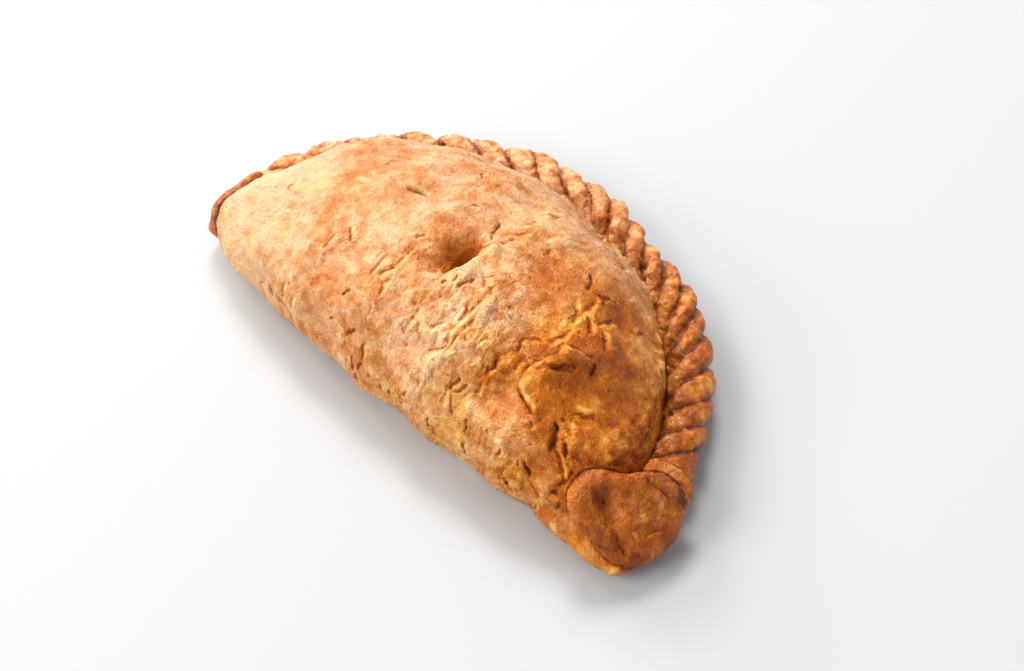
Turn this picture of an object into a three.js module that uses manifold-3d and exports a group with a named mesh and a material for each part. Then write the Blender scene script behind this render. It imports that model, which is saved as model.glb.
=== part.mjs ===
// A baked cornish pasty: a half-moon of shortcrust pastry, domed over its filling, with a rope
// crimp round the curved side and the two ends of the crimp folded over onto the case.
// Millimetres, +Z up. +X runs to the end with the large folded tab, +Y to the crimped side.
// The pasty is uncut, so it is one solid piece of food with nothing modelled inside it.

import * as THREE from 'three';
import * as BufferGeometryUtils from 'three/addons/utils/BufferGeometryUtils.js';
import Module from 'manifold-3d';

// ---------------------------------------------------------------- driving dimensions

// The shapes are laid out from the middle of the line between the tips, then moved so that the
// origin is under the middle of the whole pasty, on the surface it lies on.
const PLAN_CENTRE = [-2.3, 47.2];

// The filled case, inside the crimp.
const CASE_MIDDLE_X = -6.0;      // middle of the case along its length
const CASE_HALF_LENGTH = 91.8;   // from its middle to either nose
const CASE_DEPTH = 85.3;         // from the line of the tips back to the groove
const FOLD_BULGE = 12.5;         // how far the folded side swells out past the line of the tips
const CASE_HEIGHT = 49;          // top of the dome
const APEX = [-10, 30];          // where the dome is highest
const FOLD_HEIGHT = 11.8;        // height at which the folded side is widest
const GROOVE_HEIGHT = 14.8;      // height of the groove between dome and crimp
const FOLD_UNDERCUT = 9;         // how far the folded side rounds in under itself
const CRIMP_UNDERCUT = 3;        // the same below the groove, where the crimp hides it
const SIDE_BLEND = [20, 11];     // where the folded side turns into the crimped side, and how fast

// How the dome's section falls from the top to the rim; its end on the folded, the crimped side.
const FALL_START = 2.3;          // higher keeps the top flat for longer
const FALL_END = [2.2, 1.6];     // higher makes the last part steeper

// The curved side isn't a true arc: so many millimetres out or in, where, over how many degrees.
const BOW = { far: 6, at: 122, over: 36 };
const TUCK = { far: 3.4, at: 74, over: 10 };
const CASE_STRAY = 0.75;         // the share of this that the case follows; the crimp takes it all

// The crimp: a rope of overlapping pleats.
const ROPE_MIDDLE = [-7.5, 0];   // centre of the arc that the rope follows
const ROPE_RADIUS = 95.8;        // radius of that arc
const ROPE_HEIGHT = 8.8;         // height of the rope's middle line
const CORE_HALF = [12, 4.8];     // half width and half height of the pastry under the pleats
const CORE_SHIFT = [-6, -1];     // it lies in towards the case, and lower than the rope
const ROPE_FIRST = 172;          // the rope's far end, in degrees round the arc
const ROPE_LAST = 14;            // its near end
const DRAW_IN = { far: 6, from: 156, to: 174 }; // its far end draws in to the nose
const PLEAT_COUNT = 24;
const PLEAT_FIRST = 171.7;       // place of the first pleat, in degrees
const PLEAT_PITCH = 6.7;         // degrees from one pleat to the next
const PLEAT_JITTER = 1.2;        // how far a pleat strays from its place, in degrees
const PLEAT_THICKNESS = 3.9;     // half thickness of one pleat
const PLEAT_SPREAD = 0.6;        // its half width, as a share of the room from pleat to pleat
const PLEAT_OFFSET = [6.0, 4.8]; // how far out and up a pleat's middle line lies from the rope's
const PLEAT_RUN = 40;            // how far a pleat runs along the rope while it crosses it
const PLEAT_ANCHOR = 0.35;       // the share of its run at which it is at its place
const PLEAT_SWEEP = [-35, 195];  // from low on the outside, over the top, to the groove
const PLEAT_RUN_RANGE = [0.85, 1.15];  // how much shorter or longer a run than PLEAT_RUN may be
const PLEAT_SIZE_RANGE = [0.92, 1.14]; // and how much thinner or thicker a pleat may be
const PLEAT_TAPER = 0.12;        // share of a sine's half wave left off at both of a pleat's ends
const PLEAT_POINT = 0.06;        // how far past its line a pleat comes to a point

// The rope is twisted most in the middle. Towards both ends the pleats cross it more squarely, so
// their run shrinks to a share of PLEAT_RUN, between two places on the arc in degrees.
const NEAR_TWIST = { from: 60, to: 32, run: 0.68 };
const FAR_TWIST = { from: 80, to: 125, run: 0.47 };

// Towards the near end the pleats also lie flatter, and towards the far end they get smaller.
const NEAR_PLEATS = { from: 58, to: 34, offset: 0.97, flatter: 1.35 };
const FAR_PLEATS = { from: 150, to: 170, size: 0.8 };

const SEED = 3050;               // makes everything that varies at random repeat itself

// Resolution.
const CASE_TURNS = 90;
const CASE_RINGS = 21;
const RIM_CROWDING = 0.55;       // 0 spaces the rings evenly, 1 crowds them towards the rim
const UNDER_RINGS = 3;
const CORE_STEPS = 30;
const CORE_SIDES = 6;
const PLEAT_STEPS = 8;
const PLEAT_SIDES = 8;
const TAB_TURNS = 28;
const TAB_RINGS = 7;
const TOE_RINGS = 4;

// ---------------------------------------------------------------- small helpers

const RADIANS = Math.PI / 180;

function mix(a, b, t) {
  return a + (b - a) * t;
}

function bell(distance, width) {
  return Math.exp(-((distance / width) ** 2));
}

function smoothStep(low, high, value) {
  const t = Math.min(1, Math.max(0, (value - low) / (high - low)));
  return t * t * (3 - 2 * t);
}

// A number from 0 to 1 that is always the same for the same n.
function chance(n) {
  const wave = Math.sin(SEED * 12.9898 + n * 78.233) * 43758.5453;
  return wave - Math.floor(wave);
}

// Joins rings of equal length into one closed body, with a point closing each end.
function loft(start, rings, end) {
  const count = rings[0].length;
  const points = [start, ...rings.flat(), end];
  const last = points.length - 1;
  const faces = [];
  for (let k = 0; k < count; k += 1) {
    const next = (k + 1) % count;
    faces.push(0, 1 + k, 1 + next);
    for (let ring = 0; ring < rings.length - 1; ring += 1) {
      const a = 1 + ring * count;
      const b = a + count;
      faces.push(a + k, b + k, b + next, a + k, b + next, a + next);
    }
    const bottom = 1 + (rings.length - 1) * count;
    faces.push(last, bottom + next, bottom + k);
  }
  const geometry = new THREE.BufferGeometry();
  geometry.setAttribute('position', new THREE.Float32BufferAttribute(points.flat(), 3));
  geometry.setIndex(faces);
  return geometry;
}

// ---------------------------------------------------------------- relief of the crust

// Broad marks in the crust: ridges stand up, dents go in. Each lies at a place in plan, turned by
// so many degrees from +X, with a half length, a half width and a height, all in millimetres.
const MARKS = [
  { at: [0.6, 25.8], turn: 86, long: 8.5, wide: 4.3, high: -3.8 }, // trough of the steam vent
  { at: [3.4, 25], turn: 86, long: 6.5, wide: 1.9, high: -2.4 }, // the vent's slit
  { at: [9.4, 24], turn: 82, long: 12, wide: 4.0, high: 1.6 },   // swollen lip beside the vent
  { at: [-15, 30], turn: 20, long: 5, wide: 2.6, high: 1.4 },    // blister
  { at: [-27, 37], turn: 0, long: 2.5, wide: 2.5, high: -1.5 },  // pit
  { at: [30, 22], turn: 75, long: 24, wide: 8, high: 1.3 },      // fold running over the dome
  { at: [45, 16], turn: 80, long: 14, wide: 4, high: -1.1 },     // hollow before the flakes
  { at: [54, 22], turn: 60, long: 13, wide: 9, high: 1.4 },      // stack of lifted flakes
  { at: [-46, 10], turn: 80, long: 16, wide: 7, high: -1.0 },
  { at: [-60, 30], turn: 60, long: 20, wide: 11, high: 0.9 },
  { at: [66, 40], turn: 110, long: 16, wide: 8, high: -0.9 },
  { at: [20, 60], turn: 90, long: 18, wide: 10, high: 0.8 },
];

// Flakes: plates of pastry that lie on the crust and lift at one edge. Each lies at a place in
// plan, turned so that its lifted edge faces so many degrees from +X, with a half width along that
// edge, a half depth across it and how far the edge stands up.
const FLAKES = [
  { at: [51.5, 14.5], facing: 195, wide: 10.5, deep: 9, lift: 1.7 },   // the stack before the glaze
  { at: [67.5, 13.5], facing: -37, wide: 9.5, deep: 4.5, lift: 1.3 },
  { at: [70.5, 8.5], facing: -43, wide: 8.5, deep: 4, lift: 1.2 },
  { at: [33.5, 20], facing: 184, wide: 15, deep: 5, lift: 1.2 },       // long ones in the middle
  { at: [23, 16], facing: 189, wide: 13, deep: 4.5, lift: 1.1 },
  { at: [-28.5, 34.5], facing: -68, wide: 6, deep: 3.2, lift: 1.1 },   // over the pit
];
const FLAKE_SIDES = 10;
const FLAKE_BURIED = 0.7;        // how far a flake's other edge lies below the crust
const FLAKE_SWELL = 0.4;         // how much its middle swells
const FLAKE_DEPTH = 3;           // how far it reaches down into the crust
const FLAKE_RAGGED = 0.12;       // how uneven its outline is

// Long uneven swells: waves across the crust, each with a direction, a length and a height.
const SWELL_COUNT = 7;
const SWELL_LENGTH = [22, 48];
const SWELL_HEIGHT = 0.34;

// Towards the rim the marks end and the swells calm down: shares of the way from top to rim.
const MARKS_END = 0.96;
const SWELLS_CALM = { from: 0.75, by: 0.55 };

function swell(x, y, z) {
  let height = 0;
  for (let n = 0; n < SWELL_COUNT; n += 1) {
    const turn = chance(100 + n) * Math.PI;
    const length = mix(SWELL_LENGTH[0], SWELL_LENGTH[1], chance(120 + n));
    const along = x * Math.cos(turn) + (y + z) * Math.sin(turn);
    height += SWELL_HEIGHT * Math.sin(along * 2 * Math.PI / length + chance(140 + n) * 7);
  }
  return height;
}

function marks(x, y) {
  let height = 0;
  for (const mark of MARKS) {
    const cos = Math.cos(mark.turn * RADIANS);
    const sin = Math.sin(mark.turn * RADIANS);
    const dx = x - mark.at[0];
    const dy = y - mark.at[1];
    height += mark.high * bell(dx * cos + dy * sin, mark.long) * bell(dy * cos - dx * sin, mark.wide);
  }
  return height;
}

// ---------------------------------------------------------------- the filled case

// How far the curved side strays from its arc: it bows out behind the dome and tucks in where it
// turns towards the near end.
function stray(degrees) {
  const bow = BOW.far * bell(degrees - BOW.at, BOW.over);
  const tuck = TUCK.far * bell(degrees - TUCK.at, TUCK.over);
  return bow - tuck;
}

// The widest outline of the case: a half ellipse to the groove, a flat one on the folded side.
function caseRim(turn) {
  const depth = Math.sin(turn) >= 0 ? CASE_DEPTH : FOLD_BULGE;
  const wider = Math.sin(turn) >= 0 ? CASE_STRAY * stray(turn / RADIANS) : 0;
  return [
    CASE_MIDDLE_X + (CASE_HALF_LENGTH + wider) * Math.cos(turn),
    (depth + wider) * Math.sin(turn),
  ];
}

// 0 on the folded side, 1 on the crimped side.
function crimpedSide(rim) {
  return 1 / (1 + Math.exp((SIDE_BLEND[0] - rim[1]) / SIDE_BLEND[1]));
}

// How far it is from the top, going one way, to the ellipse that fits inside the rim.
function roundReach(dx, dy) {
  const halfDepth = (CASE_DEPTH + FOLD_BULGE) / 2;
  const ox = (APEX[0] - CASE_MIDDLE_X) / CASE_HALF_LENGTH;
  const oy = (APEX[1] - CASE_DEPTH + halfDepth) / halfDepth;
  const vx = dx / CASE_HALF_LENGTH;
  const vy = dy / halfDepth;
  const a = vx * vx + vy * vy;
  const b = ox * vx + oy * vy;
  return (-b + Math.sqrt(b * b - a * (ox * ox + oy * oy - 1))) / a;
}

// The smooth dome: out is 0 at its top and 1 at the rim. Its level lines are round near the top
// and take on the corners of the half-moon towards the rim.
function dome(turn, out) {
  const rim = caseRim(turn);
  const side = crimpedSide(rim);
  const reach = Math.hypot(rim[0] - APEX[0], rim[1] - APEX[1]);
  const dx = (rim[0] - APEX[0]) / reach;
  const dy = (rim[1] - APEX[1]) / reach;
  const distance = out * mix(roundReach(dx, dy), reach, out * out);
  const fall = (1 - out ** FALL_START) ** (1 / mix(FALL_END[0], FALL_END[1], side));
  return new THREE.Vector3(
    APEX[0] + dx * distance,
    APEX[1] + dy * distance,
    mix(mix(FOLD_HEIGHT, GROOVE_HEIGHT, side), CASE_HEIGHT, fall),
  );
}

// The direction that the smooth dome faces.
function domeFacing(turn, out) {
  if (out === 0) return new THREE.Vector3(0, 0, 1);
  const step = 0.002; // for the slopes along the surface
  const inner = Math.min(out, 1 - 2 * step);
  const around = dome(turn + step, inner).sub(dome(turn - step, inner));
  const outward = dome(turn, inner + step).sub(dome(turn, Math.max(0, inner - step)));
  return outward.cross(around).normalize();
}

// The dome with its relief, pushed out along the surface's own direction.
function crust(turn, out) {
  const point = dome(turn, out);
  const markFade = 1 - smoothStep(MARKS_END, 1, out);
  const swellFade = 1 - SWELLS_CALM.by * smoothStep(SWELLS_CALM.from, 1, out);
  const height = markFade * marks(point.x, point.y)
    + swellFade * swell(point.x, point.y, point.z);
  return point.addScaledVector(domeFacing(turn, out), height);
}

// Below the rim the case rounds in to the flat face that it lies on.
function underCase(turn, down) {
  const rim = crust(turn, 1);
  const undercut = mix(FOLD_UNDERCUT, CRIMP_UNDERCUT, crimpedSide(caseRim(turn)));
  const towards = new THREE.Vector2(APEX[0] - rim.x, APEX[1] - rim.y).normalize();
  const inward = undercut * (1 - Math.cos(down * Math.PI / 2));
  const height = rim.z * (1 - Math.sin(down * Math.PI / 2));
  return new THREE.Vector3(rim.x + towards.x * inward, rim.y + towards.y * inward, height);
}

function ringOf(point) {
  const ring = [];
  for (let k = 0; k < CASE_TURNS; k += 1) {
    ring.push(point(2 * Math.PI * k / CASE_TURNS).toArray());
  }
  return ring;
}

function filledCase() {
  const rings = [];
  for (let ring = 1; ring <= CASE_RINGS; ring += 1) {
    const even = ring / CASE_RINGS;
    const out = mix(even, Math.sin(even * Math.PI / 2), RIM_CROWDING);
    rings.push(ringOf((turn) => crust(turn, out)));
  }
  for (let ring = 1; ring <= UNDER_RINGS; ring += 1) {
    rings.push(ringOf((turn) => underCase(turn, ring / UNDER_RINGS)));
  }
  return loft(crust(0, 0).toArray(), rings, [APEX[0], APEX[1], 0]);
}

// The turn and the share of the way out that lie over a place in plan.
function overPlan(x, y) {
  const angle = Math.atan2(y - APEX[1], x - APEX[0]);
  const distance = Math.hypot(x - APEX[0], y - APEX[1]);
  let turn = angle;
  let [low, high] = [0, 1];
  for (let step = 0; step < 60; step += 1) {
    const rim = caseRim(turn);
    const missed = angle - Math.atan2(rim[1] - APEX[1], rim[0] - APEX[0]);
    turn += Math.atan2(Math.sin(missed), Math.cos(missed)) / 2;
  }
  for (let step = 0; step < 20; step += 1) {
    const point = dome(turn, (low + high) / 2);
    const reached = Math.hypot(point.x - APEX[0], point.y - APEX[1]);
    if (reached < distance) low = (low + high) / 2;
    else high = (low + high) / 2;
  }
  return [turn, high];
}

// A flake follows the crust under it, sunk in at its back and standing up at its lifted edge.
function flake(shape, index) {
  const up = domeFacing(...overPlan(...shape.at));
  const cos = Math.cos(shape.facing * RADIANS);
  const sin = Math.sin(shape.facing * RADIANS);
  const pointAt = (angle, share, height) => {
    const ragged = 1 + FLAKE_RAGGED * Math.sin(3 * angle + index) * Math.cos(5 * angle + 2 * index);
    const forward = shape.deep * share * ragged * Math.cos(angle);
    const beside = shape.wide * share * ragged * Math.sin(angle);
    const x = shape.at[0] + forward * cos - beside * sin;
    const y = shape.at[1] + forward * sin + beside * cos;
    return crust(...overPlan(x, y)).addScaledVector(up, height).toArray();
  };
  const ringAt = (share, heightAt) => {
    const ring = [];
    for (let side = 0; side < FLAKE_SIDES; side += 1) {
      const angle = side / FLAKE_SIDES * 2 * Math.PI;
      ring.push(pointAt(angle, share, heightAt(mix(0.5, Math.cos(angle) / 2 + 0.5, share))));
    }
    return ring;
  };
  const onTop = (forward) => mix(-FLAKE_BURIED, shape.lift, forward);
  const rings = [ringAt(1, onTop), ringAt(0.8, () => -FLAKE_DEPTH)];
  return loft(pointAt(0, 0, onTop(0.5) + FLAKE_SWELL), rings, pointAt(0, 0, -FLAKE_DEPTH));
}

// ---------------------------------------------------------------- the crimp

function ropeRadius(degrees) {
  return ROPE_RADIUS + stray(degrees) - DRAW_IN.far * smoothStep(DRAW_IN.from, DRAW_IN.to, degrees);
}

// A point beside the rope's middle line: so far outwards from it and so far up.
function besideRope(degrees, outwards, up) {
  const radius = ropeRadius(degrees) + outwards;
  return new THREE.Vector3(
    ROPE_MIDDLE[0] + radius * Math.cos(degrees * RADIANS),
    ROPE_MIDDLE[1] + radius * Math.sin(degrees * RADIANS),
    ROPE_HEIGHT + up,
  );
}

function ropeCore() {
  const rings = [];
  for (let step = 0; step <= CORE_STEPS; step += 1) {
    const degrees = mix(ROPE_FIRST, ROPE_LAST, step / CORE_STEPS);
    const ring = [];
    for (let side = 0; side < CORE_SIDES; side += 1) {
      const angle = -side / CORE_SIDES * 2 * Math.PI;
      const outwards = CORE_SHIFT[0] + CORE_HALF[0] * Math.cos(angle);
      const up = CORE_SHIFT[1] + CORE_HALF[1] * Math.sin(angle);
      ring.push(besideRope(degrees, outwards, up).toArray());
    }
    rings.push(ring);
  }
  const start = besideRope(ROPE_FIRST + 1, ...CORE_SHIFT).toArray();
  const end = besideRope(ROPE_LAST - 1, ...CORE_SHIFT).toArray();
  return loft(start, rings, end);
}

// One pleat starts low on the outside of the rope, comes up over the top and ends in the groove,
// moving towards the near end as it crosses.
function pleatShape(index) {
  const place = PLEAT_FIRST - index * PLEAT_PITCH + (chance(index) - 0.5) * 2 * PLEAT_JITTER;
  const near = 1 - smoothStep(NEAR_PLEATS.to, NEAR_PLEATS.from, place);
  const far = smoothStep(FAR_PLEATS.from, FAR_PLEATS.to, place);
  const flatter = mix(1, NEAR_PLEATS.flatter, near);
  const offset = mix(1, NEAR_PLEATS.offset, near);
  const run = PLEAT_RUN
    * mix(NEAR_TWIST.run, 1, smoothStep(NEAR_TWIST.to, NEAR_TWIST.from, place))
    * mix(1, FAR_TWIST.run, smoothStep(FAR_TWIST.from, FAR_TWIST.to, place))
    * mix(...PLEAT_RUN_RANGE, chance(40 + index));
  const size = mix(...PLEAT_SIZE_RANGE, chance(60 + index)) * mix(1, FAR_PLEATS.size, far);
  const crossing = offset * (PLEAT_OFFSET[0] + PLEAT_OFFSET[1]) / 2
    * (PLEAT_SWEEP[1] - PLEAT_SWEEP[0]) * RADIANS;
  const room = PLEAT_PITCH * RADIANS * ROPE_RADIUS * crossing / Math.hypot(crossing, run);
  return {
    place,
    run,
    offset,
    thickness: size * PLEAT_THICKNESS / flatter,
    width: size * PLEAT_SPREAD * room * flatter,
  };
}

function pleatDegrees(shape, along) {
  return shape.place - (along - PLEAT_ANCHOR) * shape.run / ROPE_RADIUS / RADIANS;
}

function pleatLine(shape, along) {
  const angle = mix(PLEAT_SWEEP[0], PLEAT_SWEEP[1], along) * RADIANS;
  return besideRope(
    pleatDegrees(shape, along),
    shape.offset * PLEAT_OFFSET[0] * Math.cos(angle),
    shape.offset * PLEAT_OFFSET[1] * Math.sin(angle),
  );
}

function pleat(index) {
  const shape = pleatShape(index);
  const rings = [];
  for (let step = 0; step <= PLEAT_STEPS; step += 1) {
    const along = step / PLEAT_STEPS;
    const middle = pleatLine(shape, along);
    const ahead = pleatLine(shape, along + 0.02).sub(pleatLine(shape, along - 0.02)).normalize();
    const lift = middle.clone().sub(besideRope(pleatDegrees(shape, along), 0, 0)).normalize();
    const across = new THREE.Vector3().crossVectors(lift, ahead).normalize();
    const size = Math.sqrt(Math.sin(mix(PLEAT_TAPER, 1 - PLEAT_TAPER, along) * Math.PI));
    const ring = [];
    for (let side = 0; side < PLEAT_SIDES; side += 1) {
      const angle = side / PLEAT_SIDES * 2 * Math.PI;
      const point = middle.clone();
      point.addScaledVector(lift, size * shape.thickness * Math.cos(angle));
      point.addScaledVector(across, size * shape.width * Math.sin(angle));
      ring.push(point.toArray());
    }
    rings.push(ring);
  }
  const start = pleatLine(shape, -PLEAT_POINT).toArray();
  const end = pleatLine(shape, 1 + PLEAT_POINT).toArray();
  return loft(start, rings, end);
}

// ---------------------------------------------------------------- the folded ends

// A tab of pastry lying against the case. It faces along a direction, has an uneven round outline,
// stands proud of its middle plane and reaches back into the case. Its outline has lobes: so many
// round it, so deep as a share of its size, and turned so many degrees from its right-hand side.
// Dents are placed as shares of its size too, to the right of its middle and down the slope.
const NEAR_TAB = {
  at: [89.9, 5.6, 16],
  facing: [0.69, -0.22, 0.69],
  size: 15.9,
  lobes: [[2, 0.148, 68], [3, 0.114, -31], [4, 0.03, 173]],
  proud: 4.2,
  back: 15,
  lip: 0.35,
  dents: [
    { at: [-0.40, -0.42], size: [0.26, 0.32], deep: 2.6 },   // pressed in by a thumb
    { at: [-0.40, 0.28], size: [0.14, 0.42], deep: 1.5 },    // crease running down from it
  ],
};

// The last pleat is folded down onto the tab's upper corner.
const LAST_FOLD = {
  at: [91.2, 21.4, 17],
  facing: [0.5, 0.15, 0.85],
  size: 7.2,
  lobes: [[2, 0.2, 180]],
  proud: 2.6,
  back: 9,
  lip: 0.3,
  dents: [],
};

const FAR_TAB = {
  at: [-97, 9.5, 14],
  facing: [-0.94, -0.1, 0.3],
  size: 12.8,
  lobes: [[2, 0.06, 20], [4, 0.08, 180]],
  proud: 2.8,
  back: 12,
  lip: 0.6,
  dents: [{ at: [0, -0.2], size: [0.4, 0.4], deep: 1.0 }],
};

const TAB_CLEARANCE = 0.3;       // the tabs end just above the surface that the case lies on
const TAB_LIP = { at: 0.82, wide: 0.18 };  // where its raised edge lies, as shares of its size

// Behind its face a tab narrows into the case: shares of its size at shares of its depth.
const TAB_BACK = [[0.97, 0.35], [0.8, 0.8]];

function tabOutline(tab, turn) {
  return tab.lobes.reduce(
    (size, [count, deep, from]) => size + deep * Math.cos(count * turn - from * RADIANS),
    1,
  );
}

function tabHeight(tab, u, v, out) {
  const rounded = tab.proud * Math.sqrt(1 - out ** 5);
  const lip = tab.lip * bell(out - TAB_LIP.at, TAB_LIP.wide);
  const pressed = tab.dents.reduce(
    (deep, dent) => deep
      + dent.deep * bell(u - dent.at[0], dent.size[0]) * bell(v - dent.at[1], dent.size[1]),
    0,
  );
  return rounded + (lip - pressed) * (1 - out ** 6);
}

function foldedEnd(tab) {
  const facing = new THREE.Vector3(...tab.facing).normalize();
  const across = new THREE.Vector3(0, 0, 1).cross(facing).normalize();
  const down = new THREE.Vector3().crossVectors(across, facing);
  const place = (u, v, height) => {
    const point = new THREE.Vector3(...tab.at);
    point.addScaledVector(across, u * tab.size);
    point.addScaledVector(down, v * tab.size);
    point.addScaledVector(facing, height);
    return [point.x, point.y, Math.max(point.z, TAB_CLEARANCE)];
  };
  const ringAt = (out, heightAt) => {
    const ring = [];
    for (let k = 0; k < TAB_TURNS; k += 1) {
      const turn = -k / TAB_TURNS * 2 * Math.PI;
      const u = Math.cos(turn) * tabOutline(tab, turn) * out;
      const v = Math.sin(turn) * tabOutline(tab, turn) * out;
      ring.push(place(u, v, heightAt(u, v)));
    }
    return ring;
  };
  const rings = [];
  for (let step = 1; step <= TAB_RINGS; step += 1) {
    const out = Math.sin(step / TAB_RINGS * Math.PI / 2);
    rings.push(ringAt(out, (u, v) => tabHeight(tab, u, v, out)));
  }
  for (const [size, deep] of TAB_BACK) {
    rings.push(ringAt(size, () => -deep * tab.back));
  }
  return loft(place(0, 0, tabHeight(tab, 0, 0, 0)), rings, place(0, 0, -tab.back));
}

// The nose of the case runs on as a low toe under the large tab.
const TOE = {
  at: [77.5, 3.2],
  half: [21.5, 12.7],
  corner: 3,           // 2 would make its outline an ellipse, more makes it squarer
  top: 16,
  widestAt: 6,
  undercut: [[1.75, 2.1], [5, TAB_CLEARANCE]], // below the widest: so far in at so high
};

function nearToe() {
  const ringAt = (out, inset, height) => {
    const ring = [];
    for (let k = 0; k < TAB_TURNS; k += 1) {
      const turn = k / TAB_TURNS * 2 * Math.PI;
      const cos = Math.cos(turn);
      const sin = Math.sin(turn);
      const reach = (Math.abs(cos) ** TOE.corner + Math.abs(sin) ** TOE.corner) ** (-1 / TOE.corner);
      const x = TOE.at[0] + (TOE.half[0] - inset) * out * reach * cos;
      const y = TOE.at[1] + (TOE.half[1] - inset) * out * reach * sin;
      ring.push([x, y, height]);
    }
    return ring;
  };
  const rings = [];
  for (let step = 1; step <= TOE_RINGS; step += 1) {
    const angle = step / TOE_RINGS * Math.PI / 2;
    rings.push(ringAt(Math.sin(angle), 0, mix(TOE.widestAt, TOE.top, Math.cos(angle))));
  }
  for (const [inset, height] of TOE.undercut) {
    rings.push(ringAt(1, inset, height));
  }
  return loft([...TOE.at, TOE.top], rings, [...TOE.at, TAB_CLEARANCE]);
}

// ---------------------------------------------------------------- joining the pieces

const wasm = await Module();
wasm.setup();

function toSolid(geometry) {
  const merged = BufferGeometryUtils.mergeVertices(geometry);
  return new wasm.Manifold(new wasm.Mesh({
    numProp: 3,
    vertProperties: new Float32Array(merged.attributes.position.array),
    triVerts: new Uint32Array(merged.index.array),
  }));
}

// Keeps the outer shell of the joined pieces, so that no pocket is left closed inside.
function outerShell(solid) {
  return solid.decompose().reduce((best, piece) => (piece.volume() > best.volume() ? piece : best));
}

function toGeometry(solid) {
  const mesh = solid.getMesh();
  const geometry = new THREE.BufferGeometry();
  geometry.setAttribute('position', new THREE.Float32BufferAttribute(mesh.vertProperties, 3));
  geometry.setIndex(Array.from(mesh.triVerts));
  geometry.translate(-PLAN_CENTRE[0], -PLAN_CENTRE[1], 0);
  geometry.computeVertexNormals();
  return geometry;
}

function pastyShape() {
  let solid = toSolid(filledCase());
  const pieces = [nearToe(), ropeCore(), ...[NEAR_TAB, LAST_FOLD, FAR_TAB].map(foldedEnd)];
  pieces.push(...FLAKES.map(flake));
  for (let index = 0; index < PLEAT_COUNT; index += 1) {
    pieces.push(pleat(index));
  }
  for (const piece of pieces) {
    solid = solid.add(toSolid(piece));
  }
  return toGeometry(outerShell(solid));
}

// ---------------------------------------------------------------- the object

const crustMaterial = new THREE.MeshStandardMaterial({
  color: 0xc98242,
  roughness: 0.62,
  metalness: 0,
});

const pasty = new THREE.Mesh(pastyShape(), crustMaterial);
pasty.name = 'pasty';

const group = new THREE.Group();
group.add(pasty);

export default group;
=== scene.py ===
# %% [markdown]
# # A baked cornish pasty
# The pasty is a round of shortcrust pastry folded over its filling into a half-moon. The curved
# edge is sealed with a rope crimp, and both ends of the rope are folded over onto the case.
# Everything is worked out in millimetres, in the plan that the maker would draw, and is moved to
# its place and turned into metres only when a mesh is made.

import bpy
import numpy as np
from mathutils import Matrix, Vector
from mathutils.bvhtree import BVHTree


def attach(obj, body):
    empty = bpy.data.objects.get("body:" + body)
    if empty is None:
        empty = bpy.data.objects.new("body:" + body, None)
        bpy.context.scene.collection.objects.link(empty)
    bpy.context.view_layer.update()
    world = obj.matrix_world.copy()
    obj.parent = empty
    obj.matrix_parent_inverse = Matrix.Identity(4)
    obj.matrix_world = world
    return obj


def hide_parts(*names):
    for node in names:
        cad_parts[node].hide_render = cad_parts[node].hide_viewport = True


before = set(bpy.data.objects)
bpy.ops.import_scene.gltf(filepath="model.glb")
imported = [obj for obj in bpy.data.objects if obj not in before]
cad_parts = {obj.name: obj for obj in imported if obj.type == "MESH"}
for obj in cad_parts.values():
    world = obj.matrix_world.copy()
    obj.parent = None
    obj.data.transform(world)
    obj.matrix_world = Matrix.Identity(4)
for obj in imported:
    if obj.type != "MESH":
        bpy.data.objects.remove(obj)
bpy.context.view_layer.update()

METRES = 0.001                        # one millimetre
PLAN_CENTRE = np.array([-2.3, 47.2, 0.0])  # the plan's point that lies over the origin

# %% [markdown]
# ## Camera
# The pasty is seen from above its folded side, with the large folded end closest. A wide lens close
# by would show as much of it but swell the near end, so a 50 mm lens stands further back.

# %% Camera
CAMERA_AT = Vector((0.233837, -0.234217, 0.356281))
CAMERA_TOWARDS = Vector((0.009098, -0.005299, 0.0))


def in_scene(name, data):
    """A new object with this data, linked to the scene."""
    made = bpy.data.objects.new(name, data)
    bpy.context.scene.collection.objects.link(made)
    return made


lens = bpy.data.cameras.new("camera")
lens.lens = 50
lens.sensor_width = 36
lens.clip_start = 0.01
camera = in_scene("camera", lens)
camera.location = CAMERA_AT
camera.rotation_euler = (CAMERA_TOWARDS - CAMERA_AT).to_track_quat("-Z", "Y").to_euler()
bpy.context.scene.camera = camera
print("camera", round((CAMERA_TOWARDS - CAMERA_AT).length, 3), "m from the pasty")

# %% [markdown]
# ## Noise that repeats itself
# Baked pastry is uneven at every scale, so its relief is built from smooth random fields. They
# could come from a Displace modifier's texture, but then nothing else could read them. Worked out
# with numpy they also tell the materials where the crust is cracked, lifted or browned. Each
# field has a seed, so the crust is the same every time.

# %% Helpers for blending
def mix(a, b, share):
    return a + (b - a) * share


def bell(distance, width):
    return np.exp(-((distance / width) ** 2))


def smooth_step(low, high, value):
    share = np.clip((value - low) / (high - low), 0, 1)
    return share * share * (3 - 2 * share)


print("a smooth step in quarters", smooth_step(0, 1, np.linspace(0, 1, 5)).tolist())

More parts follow.
